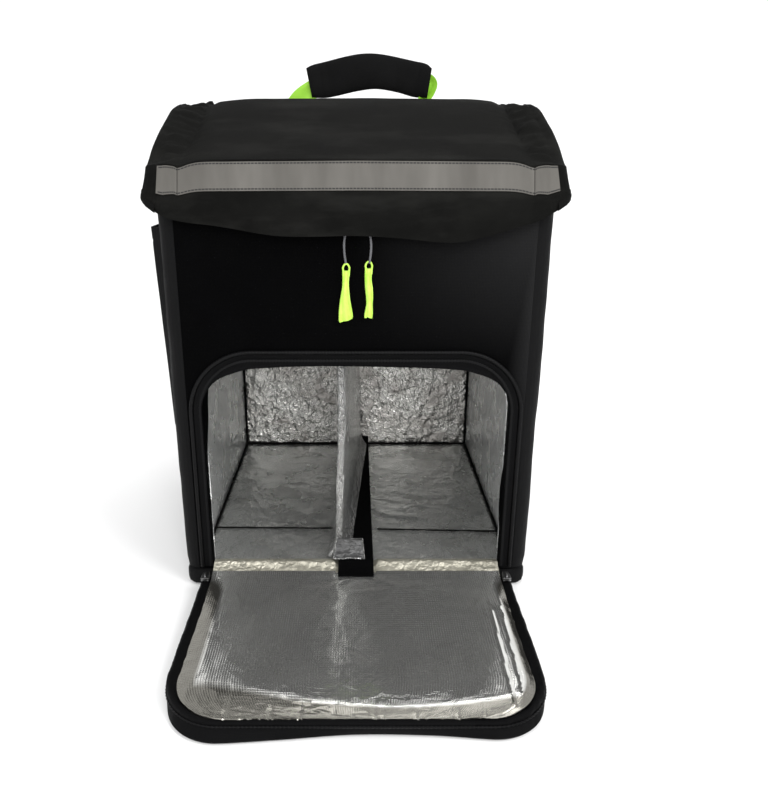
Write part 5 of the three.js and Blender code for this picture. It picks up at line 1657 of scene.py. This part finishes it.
def shoulderStrap(word, side):
    def place(u, out, up):
        point, _, across, over, half = strapSpot(side, mix(0.004, 0.996, u))
        thin = 0.45 + 0.55 * blendIn(u, 0, 0.07) * (1 - blendIn(u, 0.94, 1))
        return point + across * out * half + over * (up * thin - (1 - thin) * 3 * (u < 0.5))
    ring = [(0.93 * math.copysign(abs(math.cos(t)) ** 0.6, math.cos(t)),
             4.6 * math.copysign(abs(math.sin(t)) ** 0.7, math.sin(t)))
            for t in (2 * math.pi * k / 28 for k in range(28))]
    body = swept("strap_body_" + word, 90, ring, place, 290)
    rows = [(k / 60, strapSpot(side, k / 60)) for k in range(61)]

    def holds(at):
        point, half = min(((spot[0], spot[4]) for _, spot in rows), key=lambda one: (one[0] - at).length)
        return abs(at.x - point.x) > half - 8 or at.z > 408 or at.z < 160
    body = puffed(body, 4.4, holds, 5, 3.5)
    trims = []
    for k, edge in enumerate((-1, 1)):
        def edgePlace(u, out, up, edge=edge):
            return place(u, edge * 0.93 + out, up)
        trims.append(swept("strap_edge_%s_%d" % (word, k), 90, flatOval(0.12, 5.8, 10), edgePlace, 290))

    def bandPlace(u, out, up):
        return place(mix(0.02, 0.995, u), out, 4.9 + up + 0.2 * math.sin(u * 40))
    trims.append(swept("strap_band_" + word, 90,
                       [(-0.36, 0), (-0.33, 0.7), (0, 0.8), (0.33, 0.7), (0.36, 0), (0, -1)], bandPlace, 285))
    return handIn(joined("strap_pad_" + word, body, *(numbered(part, 1) for part in trims)), "strap_cloth",
                  "shoulder_strap_" + word, angle=60, more=("strap_webbing",))


def pastStrap(side, distance):
    point, along, across, over, _ = strapSpot(side, 1)
    return point + along * distance, across, over


# Each ladder lock is a ring with two bars: how far along each bar lies, and how wide it is.
lockShape = {"half": 13.8, "tall": 10.8, "corner": 4, "middle": 13, "bars": ((13, 3.6), (21.6, 3)), "barHalf": 14}


def ladderLock(word, side):
    def frame(a, length, up):
        point, across, over = pastStrap(side, 0.3 + length)
        return point + across * a + over * up

    def ringPlace(u, out, up):
        a, l, na, nl = roundTrip(u, lockShape["half"], lockShape["tall"], lockShape["corner"])
        return frame(a + na * out, lockShape["middle"] - l - nl * out, up)
    parts = [swept("lock_ring_" + word, 96, flatOval(4.4, 5, 10), ringPlace, 90)]
    for k, (at, wide) in enumerate(lockShape["bars"]):
        def barPlace(u, out, up, at=at):
            return frame(mix(-lockShape["barHalf"], lockShape["barHalf"], u), at + out, up + 0.6 * (at > 20))
        parts.append(swept("lock_bar_%s_%d" % (word, k), 12, flatOval(wide, 4.2, 10), barPlace, 28))
    return handIn(joined("ladder_lock_" + word, *parts), "buckle_plastic", "strap_buckle_" + word, angle=50)


anchorShape = {"x": 135, "half": 17, "top": 12, "low": 50, "tall": 32, "thick": 3.6, "wall": 175.3}


def strapWebbing(word, side):
    a = anchorShape
    y = a["wall"] + 4.3 + 1.1
    upper, lower = pastStrap(side, 18)[0], pastStrap(side, 26)[0]
    line = [tuple(upper), tuple(lower), (side * 119, 193.5, 104), (side * 131, y + 3, a["low"] + a["tall"] + 2),
            (side * 134.6, y, a["low"] + 22), (side * 135, y, a["low"] + 8)]

    def place(u, out, up):
        along = headingOn(line, u, 0.01)
        across = along.cross(Vector((0, 1, 0))).normalized() * side
        return catmull(line, u) + across * out + along.cross(across).normalized() * up * side + Vector((0,
                0.5 * math.sin(u * 11), 0)) * (1 - blendIn(u, 0.6, 0.8))
    outline = [(-10, -0.6), (-9.3, -1), (-3, -1), (3, -1), (9.3, -1), (10, -0.6), (10, 0.6), (9.3, 1), (3, 1),
               (-3, 1), (-9.3, 1), (-10, 0.6)]
    return handIn(swept("webbing_" + word, 70, outline, place, 95), "strap_webbing", "strap_webbing_" + word)


def strapAnchor(word, side):
    a = anchorShape

    def lay(u, w):
        half = mix(a["half"], a["top"], w)
        x, z = (2 * u - 1) * half, mix(0, a["tall"], w)
        edge = min(half - abs(x), z, a["tall"] - z)
        sewn = 0.7 * hump(edge - 3.4, 0.8)
        high = a["thick"] * (0.55 + 0.45 * blendIn(edge, 0, 1.6)) - sewn + 0.15 * ripple(x, z, 8, 3)
        return side * a["x"] + x, a["wall"] + high, a["low"] + z
    piece = sheetOf("anchor_patch_" + word, 34, 34, lay, (34, 32), (0, 1, 0), 1.9)
    bevelled(piece, 0.4, 2)
    return handIn(piece, "strap_cloth", "strap_anchor_" + word)


for word, side in (("left", -1), ("right", 1)):
    shoulderStrap(word, side)
    ladderLock(word, side)
    strapWebbing(word, side)
    strapAnchor(word, side)
print("straps made")


# The zip under the lid's hem, and the plated sliders.
topZipShape = {"start": 161, "half": 175, "reach": 336, "corner": 14, "above": 13, "length": 1040}


def topZip():
    shape = topZipShape
    start, length = shape["start"], shape["length"]

    def place(u, out, up):
        x, along, nx, ny = threeSides(u, shape["half"], shape["reach"], shape["corner"], 0)
        z = shape["above"] + hemHeight(Vector((x * lid["half"] / shape["half"], start - along, 0)), max(0, ny))
        out += abs(nx) * sideOut(start - along, z)
        return x + nx * out, start - along - ny * out, z + up + 0.2 * ripple(u * length, 0, 20, 5)
    tape = swept("top_zip_tape", 300, [(0.3, -6), (1.2, -6), (1.4, -2), (1.4, 2), (1.2, 6), (0.3, 6)], place, length)

    def coilPlace(u, out, up):
        return place(u, 1.3 + out, up)
    coil = coilOf("top_zip_coil", 1200, flatOval(1.2, 2.6, 5), 0.35, 1.6, length, coilPlace)
    return handIn(joined("top_zip_detail", tape, coil), "zip_tape", "top_zip", angle=50, more=("piping",))


def zipSlider(name, along):
    low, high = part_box(name)
    centre, size = (Vector(low) + Vector(high)) / 2 / mm, (Vector(high) - Vector(low)) / mm
    length = size[along]

    def turn(run, aside, up):
        return centre + (Vector((aside, -up, run)) if along == 2 else Vector((aside, run, up)))
    outline = [(-4, -2), (4, -2), (4, -0.9), (2.7, -0.7), (2.7, 0.5), (4, 0.7), (4, 1.7), (-4, 1.7), (-4, 0.7),
               (-2.7, 0.5), (-2.7, -0.7), (-4, -0.9)]

    def bodyPlace(u, out, up):
        return turn((u - 0.5) * length, out * (1 - 0.3 * blendIn(u, 0.45, 1)), up)
    body = swept(name + "_body", 14, outline, bodyPlace, length)
    bevelled(body, 0.35, 2, 50)

    def bailPlace(u, out, up):
        angle = math.pi * u
        return turn(-4.2 * math.cos(angle) * (1 + out * 0.22), up, 1.4 + 1.5 * math.sin(angle) * (1 + out * 0.4))
    bail = swept(name + "_bail", 20, flatOval(1.3, 1.8, 8), bailPlace, 12)
    return handIn(joined(name + "_detail", body, bail), "slider_metal", name, angle=40)


topZip()
for name in ("top_slider_left", "top_slider_right"):
    zipSlider(name, 2)
for name in ("door_slider_left", "door_slider_right"):
    zipSlider(name, 1)
print("zip and sliders made")
